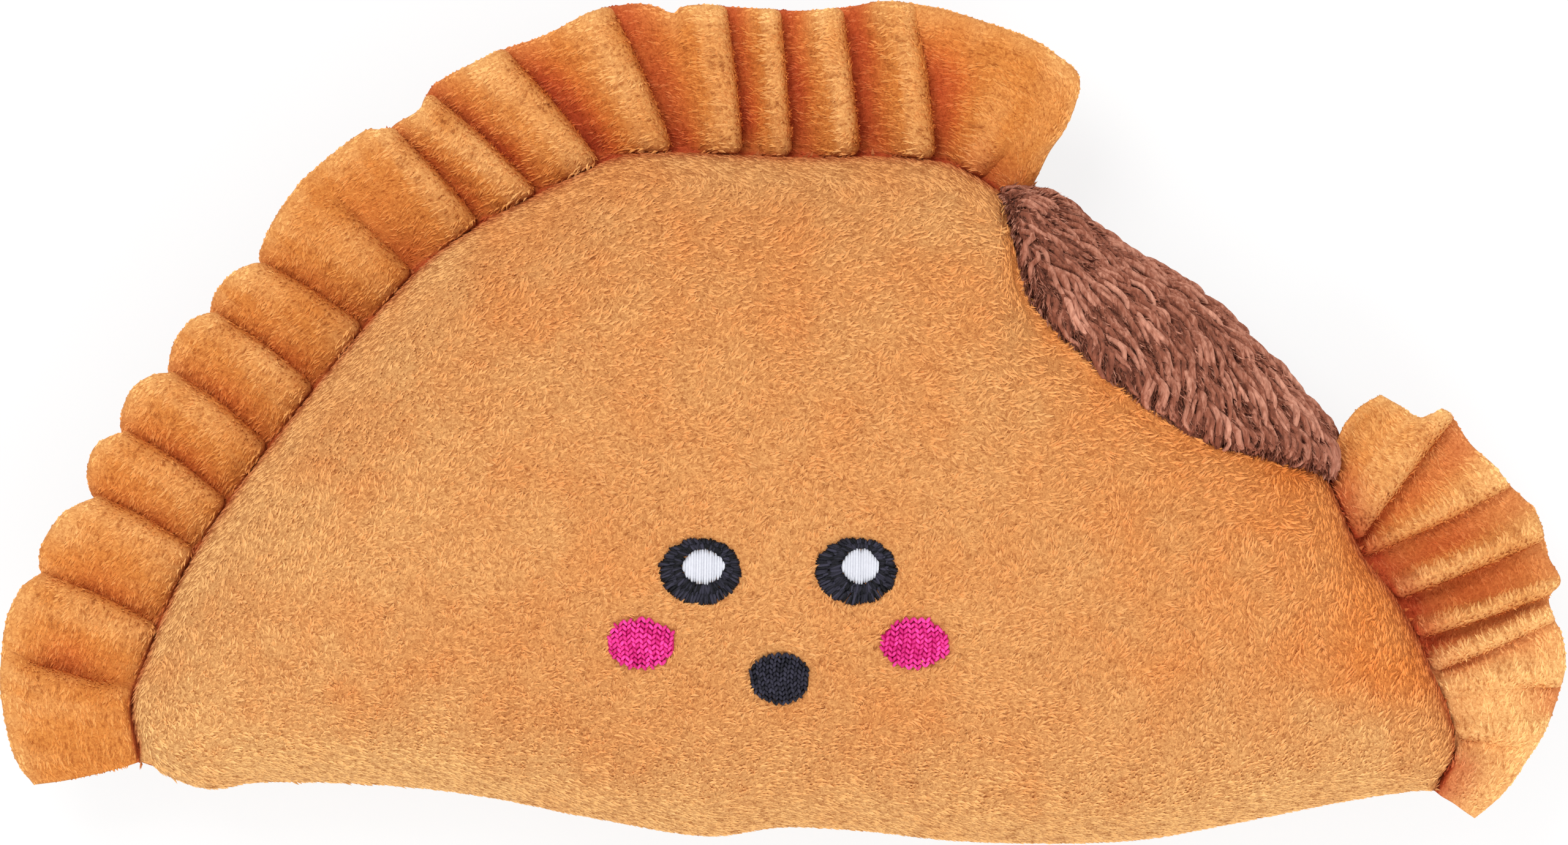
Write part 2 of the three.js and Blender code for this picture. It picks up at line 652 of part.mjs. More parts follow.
// The whole toy, moved so that it lies on z = 0 with the middle of its outline over the origin.
function dogToy() {
  const front = named("front_panel", panelGeometry(frontPanel), materials.dough);
  const toy = new THREE.Group();
  toy.add(
    front,
    named("back_panel", panelGeometry(backPanel), materials.dough),
    named("bite_filling", gussetGeometry(), materials.filling),
    named("crust_ruffle_long", ruffleGeometry(crust, longPleatShares), materials.crust),
    named("crust_ruffle_short", ruffleGeometry(side, shortPleatShares), materials.crust),
    face(front),
    named("stuffing_front", stuffingGeometry(frontPanel), materials.wadding),
    named("stuffing_back", stuffingGeometry(backPanel), materials.wadding),
    named("stuffing_bite", biteStuffingGeometry(), materials.wadding),
    squeaker(),
  );
  const box = new THREE.Box3().setFromObject(toy);
  const middle = box.getCenter(new THREE.Vector3());
  toy.position.set(-middle.x, -middle.y, -box.min.z);
  return toy;
}

export default dogToy();
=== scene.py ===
"""Plush dog toy in the shape of a filled pastry with a bite out of it: two short-pile plush panels round a
gathered crust ruffle, curly fleece in the bite, an embroidered face, stuffing and a bellows squeaker.
Shapes are worked out in millimetres in the part's own frame, and become metres when a mesh is made."""

import itertools
import math
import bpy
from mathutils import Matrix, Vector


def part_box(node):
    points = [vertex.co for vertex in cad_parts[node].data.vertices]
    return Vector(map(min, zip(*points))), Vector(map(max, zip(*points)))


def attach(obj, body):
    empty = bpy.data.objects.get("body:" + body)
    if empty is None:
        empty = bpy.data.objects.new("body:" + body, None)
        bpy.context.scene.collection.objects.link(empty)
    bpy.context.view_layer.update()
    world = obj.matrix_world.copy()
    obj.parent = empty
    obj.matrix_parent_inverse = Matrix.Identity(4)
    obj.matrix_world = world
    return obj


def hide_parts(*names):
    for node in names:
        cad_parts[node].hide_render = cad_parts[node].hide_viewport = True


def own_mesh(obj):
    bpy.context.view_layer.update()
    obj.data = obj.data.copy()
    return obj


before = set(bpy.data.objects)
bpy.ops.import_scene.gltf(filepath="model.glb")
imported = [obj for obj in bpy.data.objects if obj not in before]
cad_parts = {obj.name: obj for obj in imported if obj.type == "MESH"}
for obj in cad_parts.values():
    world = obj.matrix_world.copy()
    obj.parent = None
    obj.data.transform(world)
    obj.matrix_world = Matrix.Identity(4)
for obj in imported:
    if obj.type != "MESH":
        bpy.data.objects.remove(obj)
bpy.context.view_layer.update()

from types import SimpleNamespace

import bmesh
import bpy
import numpy as np
from mathutils import Vector
from mathutils.bvhtree import BVHTree

bl_info = {
    "name": "Plush pastry dog toy",
    "version": (1, 0, 0),
    "blender": (4, 5, 0),
    "location": "3D View > Sidebar > Toy",
    "description": "Builds a plush dog toy piece by piece, with its pile, embroidery, stuffing and squeaker",
    "category": "Object",
}

MM = 0.001
MAP_NAME = "OFBake"  # each piece's layout for pictures of its colours
UP = np.array([0.0, 0.0, 1.0])

# Body. Its outlines lie round the middle of the seam, and SEAM_AT is where that is in the part's frame.
BODY = np.array([194.4, 101.3])
SEAM_AT = np.array([1.52, -11.10, 23.0])
SEAM_GAP = 1.2  # from the seam's plane to a panel's edge
PANEL_THICKNESS = 2.4
ALLOWANCE_THICKNESS = 1.2
FOOT_ALLOWANCE = 5.0  # how far the panels turn in at the straight side
# Each panel's height over the seam, how square its section is, how even its height is along the seam, its
# height at the bite, the height where it is pressed flat, whether it lies below, its plain solid, its columns
# along the crust, the bite and the side, its rows and its seed.
FRONT = {"crown": 31.0, "arch": 1.1, "reach": 2.4, "bite": 19.0, "limit": 1e3, "down": False,
         "node": "front_panel", "columns": (130, 60, 40), "rows": 110, "seed": 21}
BACK = {"crown": 22.82, "arch": 0.55, "reach": 3.6, "bite": 16.5, "limit": 23.0, "down": True,
        "node": "back_panel", "columns": (110, 50, 34), "rows": 80, "seed": 22}

# Outlines, as shares of the body from its lower left.
CRUST = [
    (0.006, 0.118), (0, 0.2), (0.011, 0.267), (0.038, 0.386), (0.072, 0.491), (0.123, 0.621),
    (0.174, 0.742), (0.217, 0.831), (0.262, 0.895), (0.315, 0.948), (0.365, 0.992), (0.407, 1),
    (0.5, 0.993), (0.569, 0.994), (0.62, 0.981), (0.659, 0.937),
]
BITE = [
    (0.659, 0.937), (0.664, 0.866), (0.677, 0.777), (0.713, 0.7), (0.754, 0.64), (0.801, 0.583),
    (0.851, 0.557), (0.901, 0.533),
]
SIDE = [
    (0.901, 0.533), (0.916, 0.467), (0.928, 0.417), (0.951, 0.361), (0.969, 0.301), (0.982, 0.245),
    (0.995, 0.185), (0.998, 0.13), (0.983, 0.076),
]
BASE = [
    (0.006, 0.118), (0.028, 0.096), (0.06, 0.079), (0.102, 0.089), (0.194, 0.084), (0.268, 0.067),
    (0.342, 0.039), (0.43, 0.011), (0.49, 0.023), (0.546, 0.019), (0.62, 0.004), (0.703, 0),
    (0.768, 0.007), (0.842, 0.033), (0.916, 0.061), (0.962, 0.074), (0.983, 0.076),
]
GUSSET = [
    (0.669, 0.924), (0.696, 0.928), (0.716, 0.9), (0.74, 0.866), (0.771, 0.83), (0.8, 0.795),
    (0.822, 0.76), (0.842, 0.724), (0.861, 0.689), (0.877, 0.653), (0.895, 0.618), (0.904, 0.585),
    (0.904, 0.548),
]

# Ruffle folds. Each has its place on the seam as a share, how deep the valley beside it is at the seam, half
# way and at the outer edge, how far its line bows sideways half way, in millimetres, and how wide its valley
# is, from under 1 for a narrow one to over 2 for a wide one.
LONG_FOLDS = [
    (0, 0.1, 0.1, 0.1, 0, 1), (0.065, 0.35, 0.9, 0.2, 2.6, 1.8), (0.113, 0.7, 0.9, 0.55, 0, 0.9),
    (0.183, 0.7, 0.9, 0.7, 0, 1.1), (0.23, 0.8, 1, 0.75, 0, 1.05), (0.285, 0.9, 1, 0.75, 0, 1),
    (0.347, 0.9, 0.95, 0.7, 0, 1), (0.41, 1, 0.95, 0.6, 0, 1), (0.472, 0.8, 0.5, 0.12, 0, 1.8),
    (0.54, 0.9, 1, 0.8, 0, 1.2), (0.596, 0.8, 1, 0.9, 0, 1.2), (0.65, 1, 1, 0.8, 0, 1.6),
    (0.711, 1, 1, 0.8, 0, 1.9), (0.77, 0.9, 1, 0.9, 0, 2.3), (0.809, 1, 1, 0.9, 0, 2.0),
    (0.865, 1, 1, 0.9, 0, 2.0), (0.928, 1, 0.85, 0.35, 0, 1.6), (0.975, 0.35, 0.15, 0.05, 0, 1),
    (1, 0.1, 0.1, 0.1, -1.3, 1),
]
SHORT_FOLDS = [
    (0, 0.1, 0.1, 0.1, 2.4, 1), (0.2, 0.8, 1, 1, 0, 3.0), (0.245, 0.8, 1, 0.8, 0, 4.6),
    (0.39, 0.9, 1, 0.9, 0, 5.0), (0.52, 0.9, 1, 0.85, 0, 4.4), (0.63, 0.7, 0.8, 0.6, 0, 2.2),
    (0.72, 0.25, 0.3, 0.95, 0, 2.4), (0.82, 0.7, 0.4, 0.1, 0, 1), (1, 0.1, 0.1, 0.1, 0, 1),
]
# Outer edges: the fold's number and the way to the next one, and the place in the photographed view, in
# units of its width, from its middle, to the right and up.
LONG_EDGE = [
    (0, -0.479, -0.2305), (0.2, -0.4898, -0.2148), (0.35, -0.4945, -0.1992), (0.55, -0.4977, -0.1836),
    (0.75, -0.4996, -0.168), (0.9, -0.4992, -0.1523), (1, -0.4984, -0.1426), (1.3, -0.4972, -0.1328),
    (1.6, -0.4937, -0.1191), (1.85, -0.4844, -0.1035), (2, -0.4742, -0.0969), (2.15, -0.475, -0.0879),
    (2.35, -0.4727, -0.0762), (2.65, -0.4617, -0.0598), (2.85, -0.45, -0.0523), (3, -0.4406, -0.0488),
    (3.1, -0.443, -0.041), (3.3, -0.4445, -0.0312), (3.6, -0.4406, -0.0168), (3.85, -0.4305, -0.009),
    (4, -0.4227, -0.0074), (4.1, -0.4234, 0), (4.3, -0.4211, 0.0109), (4.6, -0.4148, 0.0227),
    (4.85, -0.4031, 0.0301), (5, -0.3938, 0.0305), (5.1, -0.3922, 0.0391), (5.3, -0.3891, 0.0508),
    (5.6, -0.3797, 0.0637), (5.85, -0.3711, 0.0684), (6, -0.3656, 0.0688), (6.1, -0.3652, 0.075),
    (6.3, -0.3625, 0.0828), (6.6, -0.3535, 0.0938), (6.85, -0.3418, 0.1), (7, -0.334, 0.1004),
    (7.1, -0.3344, 0.1074), (7.3, -0.332, 0.1152), (7.6, -0.3242, 0.1309), (7.85, -0.3105, 0.1504),
    (8, -0.3008, 0.1602), (8.3, -0.2871, 0.1719), (8.6, -0.2715, 0.1836), (8.8, -0.2637, 0.1871),
    (9, -0.2535, 0.1867), (9.3, -0.2469, 0.1914), (9.6, -0.2391, 0.1953), (9.85, -0.232, 0.2),
    (10, -0.2297, 0.2059), (10.15, -0.2246, 0.2148), (10.4, -0.2148, 0.2211), (10.7, -0.2, 0.2285),
    (11, -0.1828, 0.2367), (11.2, -0.1711, 0.241), (11.45, -0.1543, 0.2465), (11.7, -0.1387, 0.2539),
    (11.85, -0.127, 0.2602), (12, -0.1152, 0.2645), (12.1, -0.1074, 0.266), (12.3, -0.0938, 0.2676),
    (12.45, -0.082, 0.2656), (12.55, -0.0742, 0.2621), (12.63, -0.0672, 0.2613), (12.68, -0.0656, 0.2648),
    (12.8, -0.0566, 0.2664), (13, -0.0422, 0.266), (13.5, -0.0254, 0.2648), (14, -0.007, 0.2637),
    (14.5, 0.0117, 0.2629), (15, 0.032, 0.2641), (15.3, 0.0469, 0.2664), (15.6, 0.0625, 0.2688),
    (16, 0.082, 0.2672), (16.2, 0.1016, 0.2637), (16.4, 0.125, 0.2566), (16.65, 0.1562, 0.2453),
    (16.8, 0.1719, 0.2359), (17, 0.1875, 0.2223), (17.2, 0.1867, 0.207), (17.4, 0.1801, 0.1914),
    (17.6, 0.1691, 0.1758), (17.8, 0.1605, 0.1602), (18, 0.1547, 0.15),
]
SHORT_EDGE = [
    (0, 0.3812, 0.0168), (0.3, 0.3945, 0.009), (0.6, 0.4062, 0.0027), (0.8, 0.4141, 0.0055),
    (1, 0.4238, 0.007), (1.5, 0.4383, -0.0137), (1.8, 0.4531, -0.0273), (2, 0.4625, -0.0391),
    (2.4, 0.4727, -0.0488), (2.7, 0.4797, -0.0566), (3, 0.4844, -0.0703), (3.4, 0.4883, -0.0859),
    (3.75, 0.4957, -0.1), (4, 0.4906, -0.1059), (4.4, 0.4883, -0.1133), (5, 0.4914, -0.125),
    (5.4, 0.4961, -0.1348), (5.7, 0.4988, -0.1504), (6, 0.4969, -0.1641), (6.5, 0.4891, -0.1895),
    (7, 0.4766, -0.2109), (7.5, 0.4609, -0.2324), (8, 0.4402, -0.2516),
]
VIEW_WIDTH = 230.2  # of the photographed view, at the seam

# Each ruffle's seam, folds, outer edge, plain solid and seed, and its tints: how much painted shade lies
# beside the seam and from which fold, how much painted shade lies in the valleys of its first half and of the
# rest, how pale it is all over, and the fold from which it is paler still.
RUFFLES = {
    "crust_long": {"seam": "crust", "folds": LONG_FOLDS, "edge": LONG_EDGE, "node": "crust_ruffle_long",
                   "seed": 31, "seam_shade": (0.6, 16.1), "valleys": (0.4, 0.85), "pale": 0.0, "paler_past": 99},
    "crust_short": {"seam": "side", "folds": SHORT_FOLDS, "edge": SHORT_EDGE, "node": "crust_ruffle_short",
                    "seed": 41, "seam_shade": (0.8, -1), "valleys": (0.4, 0.4), "pale": 0.25, "paler_past": 4.2},
}
# Places across one fold, from the valley to its ridge. The ridge hangs over the next valley.
FOLD_RISE = (0, 0.08, 0.18, 0.3, 0.45, 0.6, 0.75, 0.88, 0.97)
FOLD_DROP = ((1.05, 0.45), (1.035, -0.4))
FOLD_STEPS = 3
RUFFLE_ROWS = np.concatenate([(0, 0.012, 0.03, 0.055, 0.085, 0.12), np.linspace(0.16, 0.95, 24),
                              (0.965, 0.98, 0.99, 0.997, 1)])  # shares of the way from the seam to the edge
RUFFLE_TUCK = 4.4  # how far its allowance reaches in between the panels
RUFFLE_WIDTH = 20.0  # of the strip as it was cut
RUFFLE_THICKNESS = 2.0
RUFFLE_DROOP = 1.6
LIP_RADIUS = 1.8  # how round a panel's edge turns over at the bite
LIP_STEPS = 5
LIP_TURN = 1.75  # how far it turns over, as an angle

# Pile
TUFT_SINK = 0.03  # how deep a tuft's root lies in the cloth
TUFT_FACES = np.array([[0, 3, 1], [0, 2, 3], [0, 1, 2], [1, 3, 2]])
TUFT_LAYOUT = np.array([[0.5, 0.1], [0.1, 0.5], [0.9, 0.5], [0.5, 0.9]])
FLEECE_AREA = 1700.0  # on which the curls are counted
FLEECE_LAY = (-58.0, -102.0)  # the way that the curls point at the top of the bite and at its other end
FLEECE_GRID = (110, 40)  # columns along the bite and rows across it
FLEECE_FLOOR = 4.5  # no curl hangs lower

# Inside and around
WAD_STEP = 2.0  # from point to point on a wad
TURN_STEPS = 96  # of the bellows
FLOOR_SIZE = 8000.0
FLOOR_DROP = 0.05  # how far the floor lies under the toy
LAMP_SIZE = 0.8  # in metres

# Face: centres as shares of the body, each eye's with its highlight's, and sizes across and up.
EYES = {"left": ((0.4297, 0.397), (0.432, 0.404)), "right": ((0.5459, 0.397), (0.5491, 0.4045))}
EYE_SIZE = (12.0, 9.9)
HIGHLIGHT_SIZE = {"left": (6.0, 5.3), "right": (5.35, 5.4)}
CHEEKS = {"left": (0.3854, 0.2926), "right": (0.5898, 0.2935)}
CHEEK_SIZE = (9.6, 7.4)
MOUTH = (0.489, 0.2424)
MOUTH_SIZE = (8.6, 7.5)


# Numbers and shapes

def ease(x):
    x = np.clip(x, 0, 1)
    return x * x * (3 - 2 * x)


def mix(a, b, share):
    return a + (b - a) * share


def unit(vectors):
    return vectors / np.maximum(np.linalg.norm(vectors, axis=-1, keepdims=True), 1e-9)


def with_height(flat, z=0.0):
    """Places in a plane with their heights, one for all or one for each."""
    return np.concatenate([flat, np.broadcast_to(z, flat.shape[:-1])[..., None]], -1)


def stacked(*parts):
    """Numbers side by side as points, each for one place or for all."""
    return np.stack(np.broadcast_arrays(*parts), -1)


def left_of(way):
    """Directions in a plane, turned a quarter to the left."""
    return np.stack([-way[..., 1], way[..., 0]], -1)


def along_surface(ways, normals):
    """Directions without what leads away from the surface."""
    return unit(ways - (ways * normals).sum(-1, keepdims=True) * normals)


def place(shares):
    """Shares of the body as millimetres in the part's frame."""
    return (np.asarray(shares, float) - 0.5) * BODY + SEAM_AT[:2]


def smooth_through(points, steps):
    """A smooth line through the points, close enough together to be measured."""
    points = np.asarray(points, float)
    ends = np.vstack([points[:1], points, points[-1:]])
    t = np.linspace(0, len(points) - 1, steps * (len(points) - 1) + 1)
    i = np.minimum(t.astype(int), len(points) - 2)
    w = (t - i)[:, None]
    p0, p1, p2, p3 = (ends[i + k] for k in range(4))
    v0, v1 = (p2 - p0) / 2, (p3 - p1) / 2
    return (2 * p1 - 2 * p2 + v0 + v1) * w**3 + (3 * p2 - 3 * p1 - 2 * v0 - v1) * w**2 + v0 * w + p1


class Line:
    """A smooth outline, read by its share of its length."""

    def __init__(self, shares):
        self.points = smooth_through(place(shares), 60)
        steps = np.linalg.norm(np.diff(self.points, axis=0), axis=1)
        self.along = np.concatenate([[0], np.cumsum(steps)])
        self.length = self.along[-1]

    def at(self, share):
        reach = np.asarray(share, float) * self.length
        return np.stack([np.interp(reach, self.along, self.points[:, k]) for k in (0, 1)], -1)

    def way(self, share, step=0.004):
        return unit(self.at(np.minimum(share + step, 1)) - self.at(np.maximum(share - step, 0)))


LINES = {n: Line(s) for n, s in (("crust", CRUST), ("bite", BITE), ("side", SIDE), ("base", BASE),
                                 ("gusset", GUSSET))}
LATTICE = 48  # lumps after which the noise repeats


def cloud(points, size, seed):
    """Smooth noise from -1 to 1, in lumps of about that size."""
    table = np.random.default_rng(seed).uniform(-1, 1, (LATTICE,) * 3)
    at = np.asarray(points, float) / size
    low = np.floor(at).astype(int)
    part = ease(at - low)
    total = 0
    for corner in itertools.product((0, 1), repeat=3):
        weight = np.prod(np.where(corner, part, 1 - part), axis=-1)
        total = total + weight * table[tuple(np.moveaxis((low + corner) % LATTICE, -1, 0))]
    return total


def grid_normals(grid, outward):
    """Normals of a grid of points, turned to the side that outward points to on the whole."""
    normal = unit(np.cross(np.gradient(grid, axis=0), np.gradient(grid, axis=1)))
    return normal * np.sign((normal * outward).sum())


def corners_of(grid):
    """The four corners of each cell of a grid, in turn."""
    return grid[:-1, :-1], grid[1:, :-1], grid[1:, 1:], grid[:-1, 1:]


def quads_of(columns, rows, start=0):
    index = start + np.arange(columns * rows).reshape(columns, rows)
    return np.stack(corners_of(index), -1).reshape(-1, 4)


def cell_areas(grid):
    a, b, c, d = corners_of(grid)
    return np.linalg.norm(np.cross(c - a, d - b), axis=-1) / 2


def in_cell(layout, k, count):
    """A small body's layout in its own cell of a square with room for all of them."""
    across = math.ceil(math.sqrt(max(count, 1)))
    return (np.stack([k % across, k // across], -1) + layout) / across


def facing_out(points, faces):
    """The faces of a closed body, turned round if they look inwards."""
    volume = 0.0
    for f in faces:
        for k in range(1, f.shape[1] - 1):
            volume += (points[f[:, 0]] * np.cross(points[f[:, k]], points[f[:, k + 1]])).sum()
    return faces if volume > 0 else [f[:, ::-1] for f in faces]


class Mesh:
    """Points, faces, numbers at the points and a flat layout, gathered from several bodies."""

    def __init__(self):
        self.points, self.faces, self.marks, self.layout, self.count = [], [], {}, [], 0

    def add(self, points, faces, layout, **marks):
        points = np.asarray(points, float).reshape(-1, 3)
        for name, values in marks.items():
            self.marks.setdefault(name, []).append(np.broadcast_to(np.ravel(values), (len(points),)))
        self.points.append(points)
        self.layout.append(np.asarray(layout, float).reshape(-1, 2))
        self.faces += [np.asarray(f) + self.count for f in faces]
        self.count += len(points)

    def add_all(self, bodies):
        """Adds small bodies, each with its own cell in the layout."""
        for k, (points, faces, layout, tones) in enumerate(bodies):
            self.add(points, faces, in_cell(layout, k, len(bodies)), tone=tones)

    def sheet(self, outer, inner, **marks):
        """A sheet between two grids of points, closed at its edges."""
        columns, rows = outer.shape[:2]
        here, under = np.arange(columns * rows).reshape(columns, rows), columns * rows

        def wall(line):
            return np.stack([line[:-1], line[1:], line[1:] + under, line[:-1] + under], -1)

        faces = [quads_of(columns, rows), quads_of(columns, rows, under)[:, ::-1], wall(here[:, 0])[:, ::-1],
                 wall(here[:, -1]), wall(here[0]), wall(here[-1])[:, ::-1]]
        u, v = np.meshgrid(np.linspace(0.01, 0.99, columns), np.linspace(0.01, 0.49, rows), indexing="ij")
        half = np.stack([u, v], -1).reshape(-1, 2)
        points = np.concatenate([outer.reshape(-1, 3), inner.reshape(-1, 3)])
        self.add(points, facing_out(points, faces), np.concatenate([half, half + [0, 0.5]]),
                 **{name: np.tile(np.ravel(values), 2) for name, values in marks.items()})

    def make(self, name, material, smooth=True):
        points = np.concatenate(self.points)
        mesh = bpy.data.meshes.new(name)
        counts = np.concatenate([np.full(len(f), f.shape[1]) for f in self.faces])
        corners = np.concatenate([f.ravel() for f in self.faces]).astype(np.int32)
        mesh.vertices.add(len(points))
        mesh.vertices.foreach_set("co", (points * MM).astype(np.float32).ravel())
        mesh.loops.add(len(corners))
        mesh.loops.foreach_set("vertex_index", corners)
        mesh.polygons.add(len(counts))
        starts = np.concatenate([[0], np.cumsum(counts)[:-1]])
        mesh.polygons.foreach_set("loop_start", starts.astype(np.int32))
        mesh.polygons.foreach_set("use_smooth", np.full(len(counts), smooth))
        mesh.update(calc_edges=True)
        for mark, values in self.marks.items():
            layer = mesh.attributes.new(mark, "FLOAT", "POINT")
            layer.data.foreach_set("value", np.concatenate(values).astype(np.float32))
        flat = np.concatenate(self.layout)[corners]
        mesh.uv_layers.new(name=MAP_NAME).uv.foreach_set("vector", flat.astype(np.float32).ravel())
        if mesh.validate(clean_customdata=False):
            raise RuntimeError(f"{name}: the mesh had faults")
        mesh.materials.append(material)
        made = bpy.data.objects.new(name, mesh)
        bpy.context.scene.collection.objects.link(made)
        return made


def sew(piece, *nodes, slot, padded=None):
    """Lets a piece move with the toy and stand for its plain solids."""
    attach(piece, "toy")
    if nodes:
        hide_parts(*nodes)
    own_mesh(piece)
    return piece


# Pile

def scatter(grid, normals, per_mm2, rng, keep=1.0):
    """Random places on a grid of points: the places, their normals, and what reads other grids there."""
    wanted = cell_areas(grid) * np.broadcast_to(keep, grid.shape[:2])[:-1, :-1] * per_mm2
    counts = np.floor(wanted + rng.random(wanted.shape)).astype(int)
    i, j = np.repeat(np.indices(counts.shape).reshape(2, -1), counts.ravel(), axis=1)
    s, t = rng.random(len(i)), rng.random(len(i))

    def read(values):
        weights = ((1 - s) * (1 - t), s * (1 - t), s * t, (1 - s) * t)
        return sum((weight * corner[i, j].T).T for weight, corner in zip(weights, corners_of(values)))

    return read(grid), unit(read(normals)), read


def fibres(mesh, roots, normals, lay, length, width, lift, tone, **marks):
    """Tufts of four faces each: a ridge from the root up to the tip, and sides that reach into the cloth."""
    n = len(roots)
    lay = along_surface(lay, normals)
    length, width, lift = (x[:, None] for x in (length, width, lift))
    root = roots - normals * TUFT_SINK
    tip = root + length * (lay * np.cos(lift) + normals * np.sin(lift))
    waist = root + lay * length * 0.42 - normals * (0.05 + width * 0.16)
    half = np.cross(normals, lay) * width / 2
    faces = (len(TUFT_FACES) * np.arange(n)[:, None, None] + TUFT_FACES).reshape(-1, 3)
    mesh.add(np.stack([root, waist + half, waist - half, tip], 1), [faces],
             in_cell(TUFT_LAYOUT, np.arange(n)[:, None], n),
             **{name: np.repeat(values, 4) for name, values in {"tone": tone, **marks}.items()})


# Materials

class Socket:
    """A number from a node, on which Python's sums add Math nodes."""

    def __init__(self, tree, socket):
        self.tree, self.socket = tree, socket

    def math(self, operation, *others):
        node = self.tree.nodes.new("ShaderNodeMath")
        node.operation = operation
        for slot, value in zip(node.inputs, others):
            if isinstance(value, Socket):
                self.tree.links.new(value.socket, slot)
            else:
                slot.default_value = value
        return Socket(self.tree, node.outputs[0])

    def __add__(self, other):
        return self.math("ADD", self, other)

    def __sub__(self, other):
        return self.math("SUBTRACT", self, other)

    def __mul__(self, other):
        return self.math("MULTIPLY", self, other)

    __radd__ = __add__

    def clamped(self):
        return self.math("MINIMUM", self.math("MAXIMUM", self, 0.0), 1.0)


class Nodes:
    """A tree of shader nodes."""

    def __init__(self, tree):
        self.tree = tree

    def node(self, kind, settings=None, out=0, **values):
        """Adds a node: its settings first, then the values or links of its sockets. Returns one output."""
        made = self.tree.nodes.new("ShaderNode" + kind)
        for setting, value in (settings or {}).items():
            setattr(made, setting, value)
        for socket, value in values.items():
            slot = made.inputs[int(socket[1:]) if socket[1:].isdigit() else socket.replace("_", " ")]
            if isinstance(value, Socket):
                self.tree.links.new(value.socket, slot)
            else:
                slot.default_value = value
        return Socket(self.tree, made.outputs[out])

    def seen(self):
        """1 where the camera sees the surface, by itself or in something shiny or clear."""
        ray = self.node("LightPath", out="Is Camera Ray")
        for other in ("Is Glossy Ray", "Is Transmission Ray"):
            ray = ray.math("MAXIMUM", ray, self.node("LightPath", out=other))
        return ray


class Finish(Nodes):
    """A material built from nodes round one Principled shader."""

    def __init__(self, name, **constant):
        self.material = bpy.data.materials.new(name)
        self.material.use_nodes = True
        super().__init__(self.material.node_tree)
        self.shader = next(n for n in self.tree.nodes if n.type == "BSDF_PRINCIPLED")
        for socket, value in constant.items():
            self.shader.inputs[socket.replace("_", " ")].default_value = value

    def mark(self, name):
        return self.node("Attribute", {"attribute_name": name}, out="Fac")

    def noise(self, size_mm, detail=2.0, stretch=(1, 1, 1), distortion=0.0):
        """Noise with lumps of that size, stretched along the axes."""
        where = self.node("TexCoord", out="Object")
        if stretch != (1, 1, 1):
            where = self.node("Mapping", s0=where, s3=stretch)
        return self.node("TexNoise", out="Fac", Vector=where, Scale=1 / (size_mm * MM), Detail=detail,
                         Distortion=distortion)

    def blend(self, share, one, two, way="MIX"):
        """One colour over another by a share, given as colours or links."""
        return self.node("Mix", {"data_type": "RGBA", "blend_type": way, "clamp_factor": True}, out=2,
                         s0=share, s6=one, s7=two)

    def bump(self, height, distance_mm, strength):
        return self.node("Bump", Height=height, Distance=distance_mm * MM, Strength=strength)

    def feed(self, **links):
        for socket, value in links.items():
            self.tree.links.new(value.socket, self.shader.inputs[socket.replace("_", " ")])
        return self.material


def rgb(red, green, blue):
    """A colour by its screen values, as a shader takes it."""
    shares = [c / 255 for c in (red, green, blue)]
    return (*(c / 12.92 if c <= 0.04045 else ((c + 0.055) / 1.055) ** 2.4 for c in shares), 1.0)


def shade(colour, share):
    """A darker colour."""
    return (*(c * share for c in colour[:3]), 1.0)


def plush(name, pile):
    """Short-pile plush: each tuft has its own tone. The pale mark is painted light, with some plainly paler
    places;
    the warm and deep marks are mostly painted shade, warmer and redder in folds, seams and on sides turned
    from the light; the pile's gaps get painted shade and its lit tufts a painted highlight.
    """
    finish = Finish(name, Roughness=0.85, Sheen_Weight=0.2, Sheen_Roughness=0.45,
                    Sheen_Tint=(*pile.light[:3], 1), Specular_IOR_Level=0.12)
    blotch = (finish.noise(12, 2.0) - 0.5) * 0.5
    # Painted light: the pale mark lightens the lit slopes, the ridges and the edges, with random blotches.
    cloth = finish.blend((finish.mark("pale") + blotch).clamped(), pile.colour, pile.pale)
    # Mostly painted shade: the warm mark warms and darkens the sides turned from the light and the sides of
    # the folds.
    cloth = finish.blend((finish.mark("warm") - blotch * 0.5).clamped(), cloth, pile.warm)
    # Painted shade: the deep mark darkens and reddens the folds and the seams.
    red = (finish.mark("deep") * (0.75 + finish.noise(2.5, 2.0) * 0.5)).clamped()
    cloth = finish.blend(red, cloth, pile.deep)
    tone = finish.mark("tone") + (finish.noise(0.5, 1.0, distortion=1.2) - 0.5) * 0.8
    # Painted shade in the gaps of the pile: low tones take the dark colour.
    gaps = finish.blend(1.0, cloth, pile.dark, "MULTIPLY")
    cloth = finish.blend((tone * 2).clamped(), gaps, cloth)
    # Painted highlight on the lit tufts: high tones take the light colour.
    lit_tips = finish.blend(1.0, cloth, pile.light, "SCREEN")
    cloth = finish.blend((tone * 2 - 1).clamped(), cloth, lit_tips)
    height = finish.noise(0.55, 3.0, distortion=0.4) + finish.noise(1.6, 2.0) * 0.7
    return finish.feed(Base_Color=cloth, Normal=finish.bump(height, 0.3, 0.7))


def thread(name, colour, light, rough):
    """Shiny embroidery thread, with its plies and a painted highlight on each stitch."""
    finish = Finish(name, Roughness=rough, Specular_IOR_Level=0.16)
    tone = (finish.mark("tone") + (finish.noise(0.35, 2.0) - 0.5) * 0.5).clamped()
    height = finish.noise(0.18, 2.0, distortion=0.5)
    # The tone paints a highlight on each stitch, from the thread's colour to its lit colour.
    return finish.feed(Base_Color=finish.blend(tone, colour, light), Normal=finish.bump(height, 0.08, 0.6),
                       Roughness=(rough + (tone - 0.5) * 0.2).clamped())


# What a user may change

def colour_property(name, description, default):
    return bpy.props.FloatVectorProperty(name=name, description=description, subtype="COLOR", size=4, min=0,
                                         max=1, default=default)


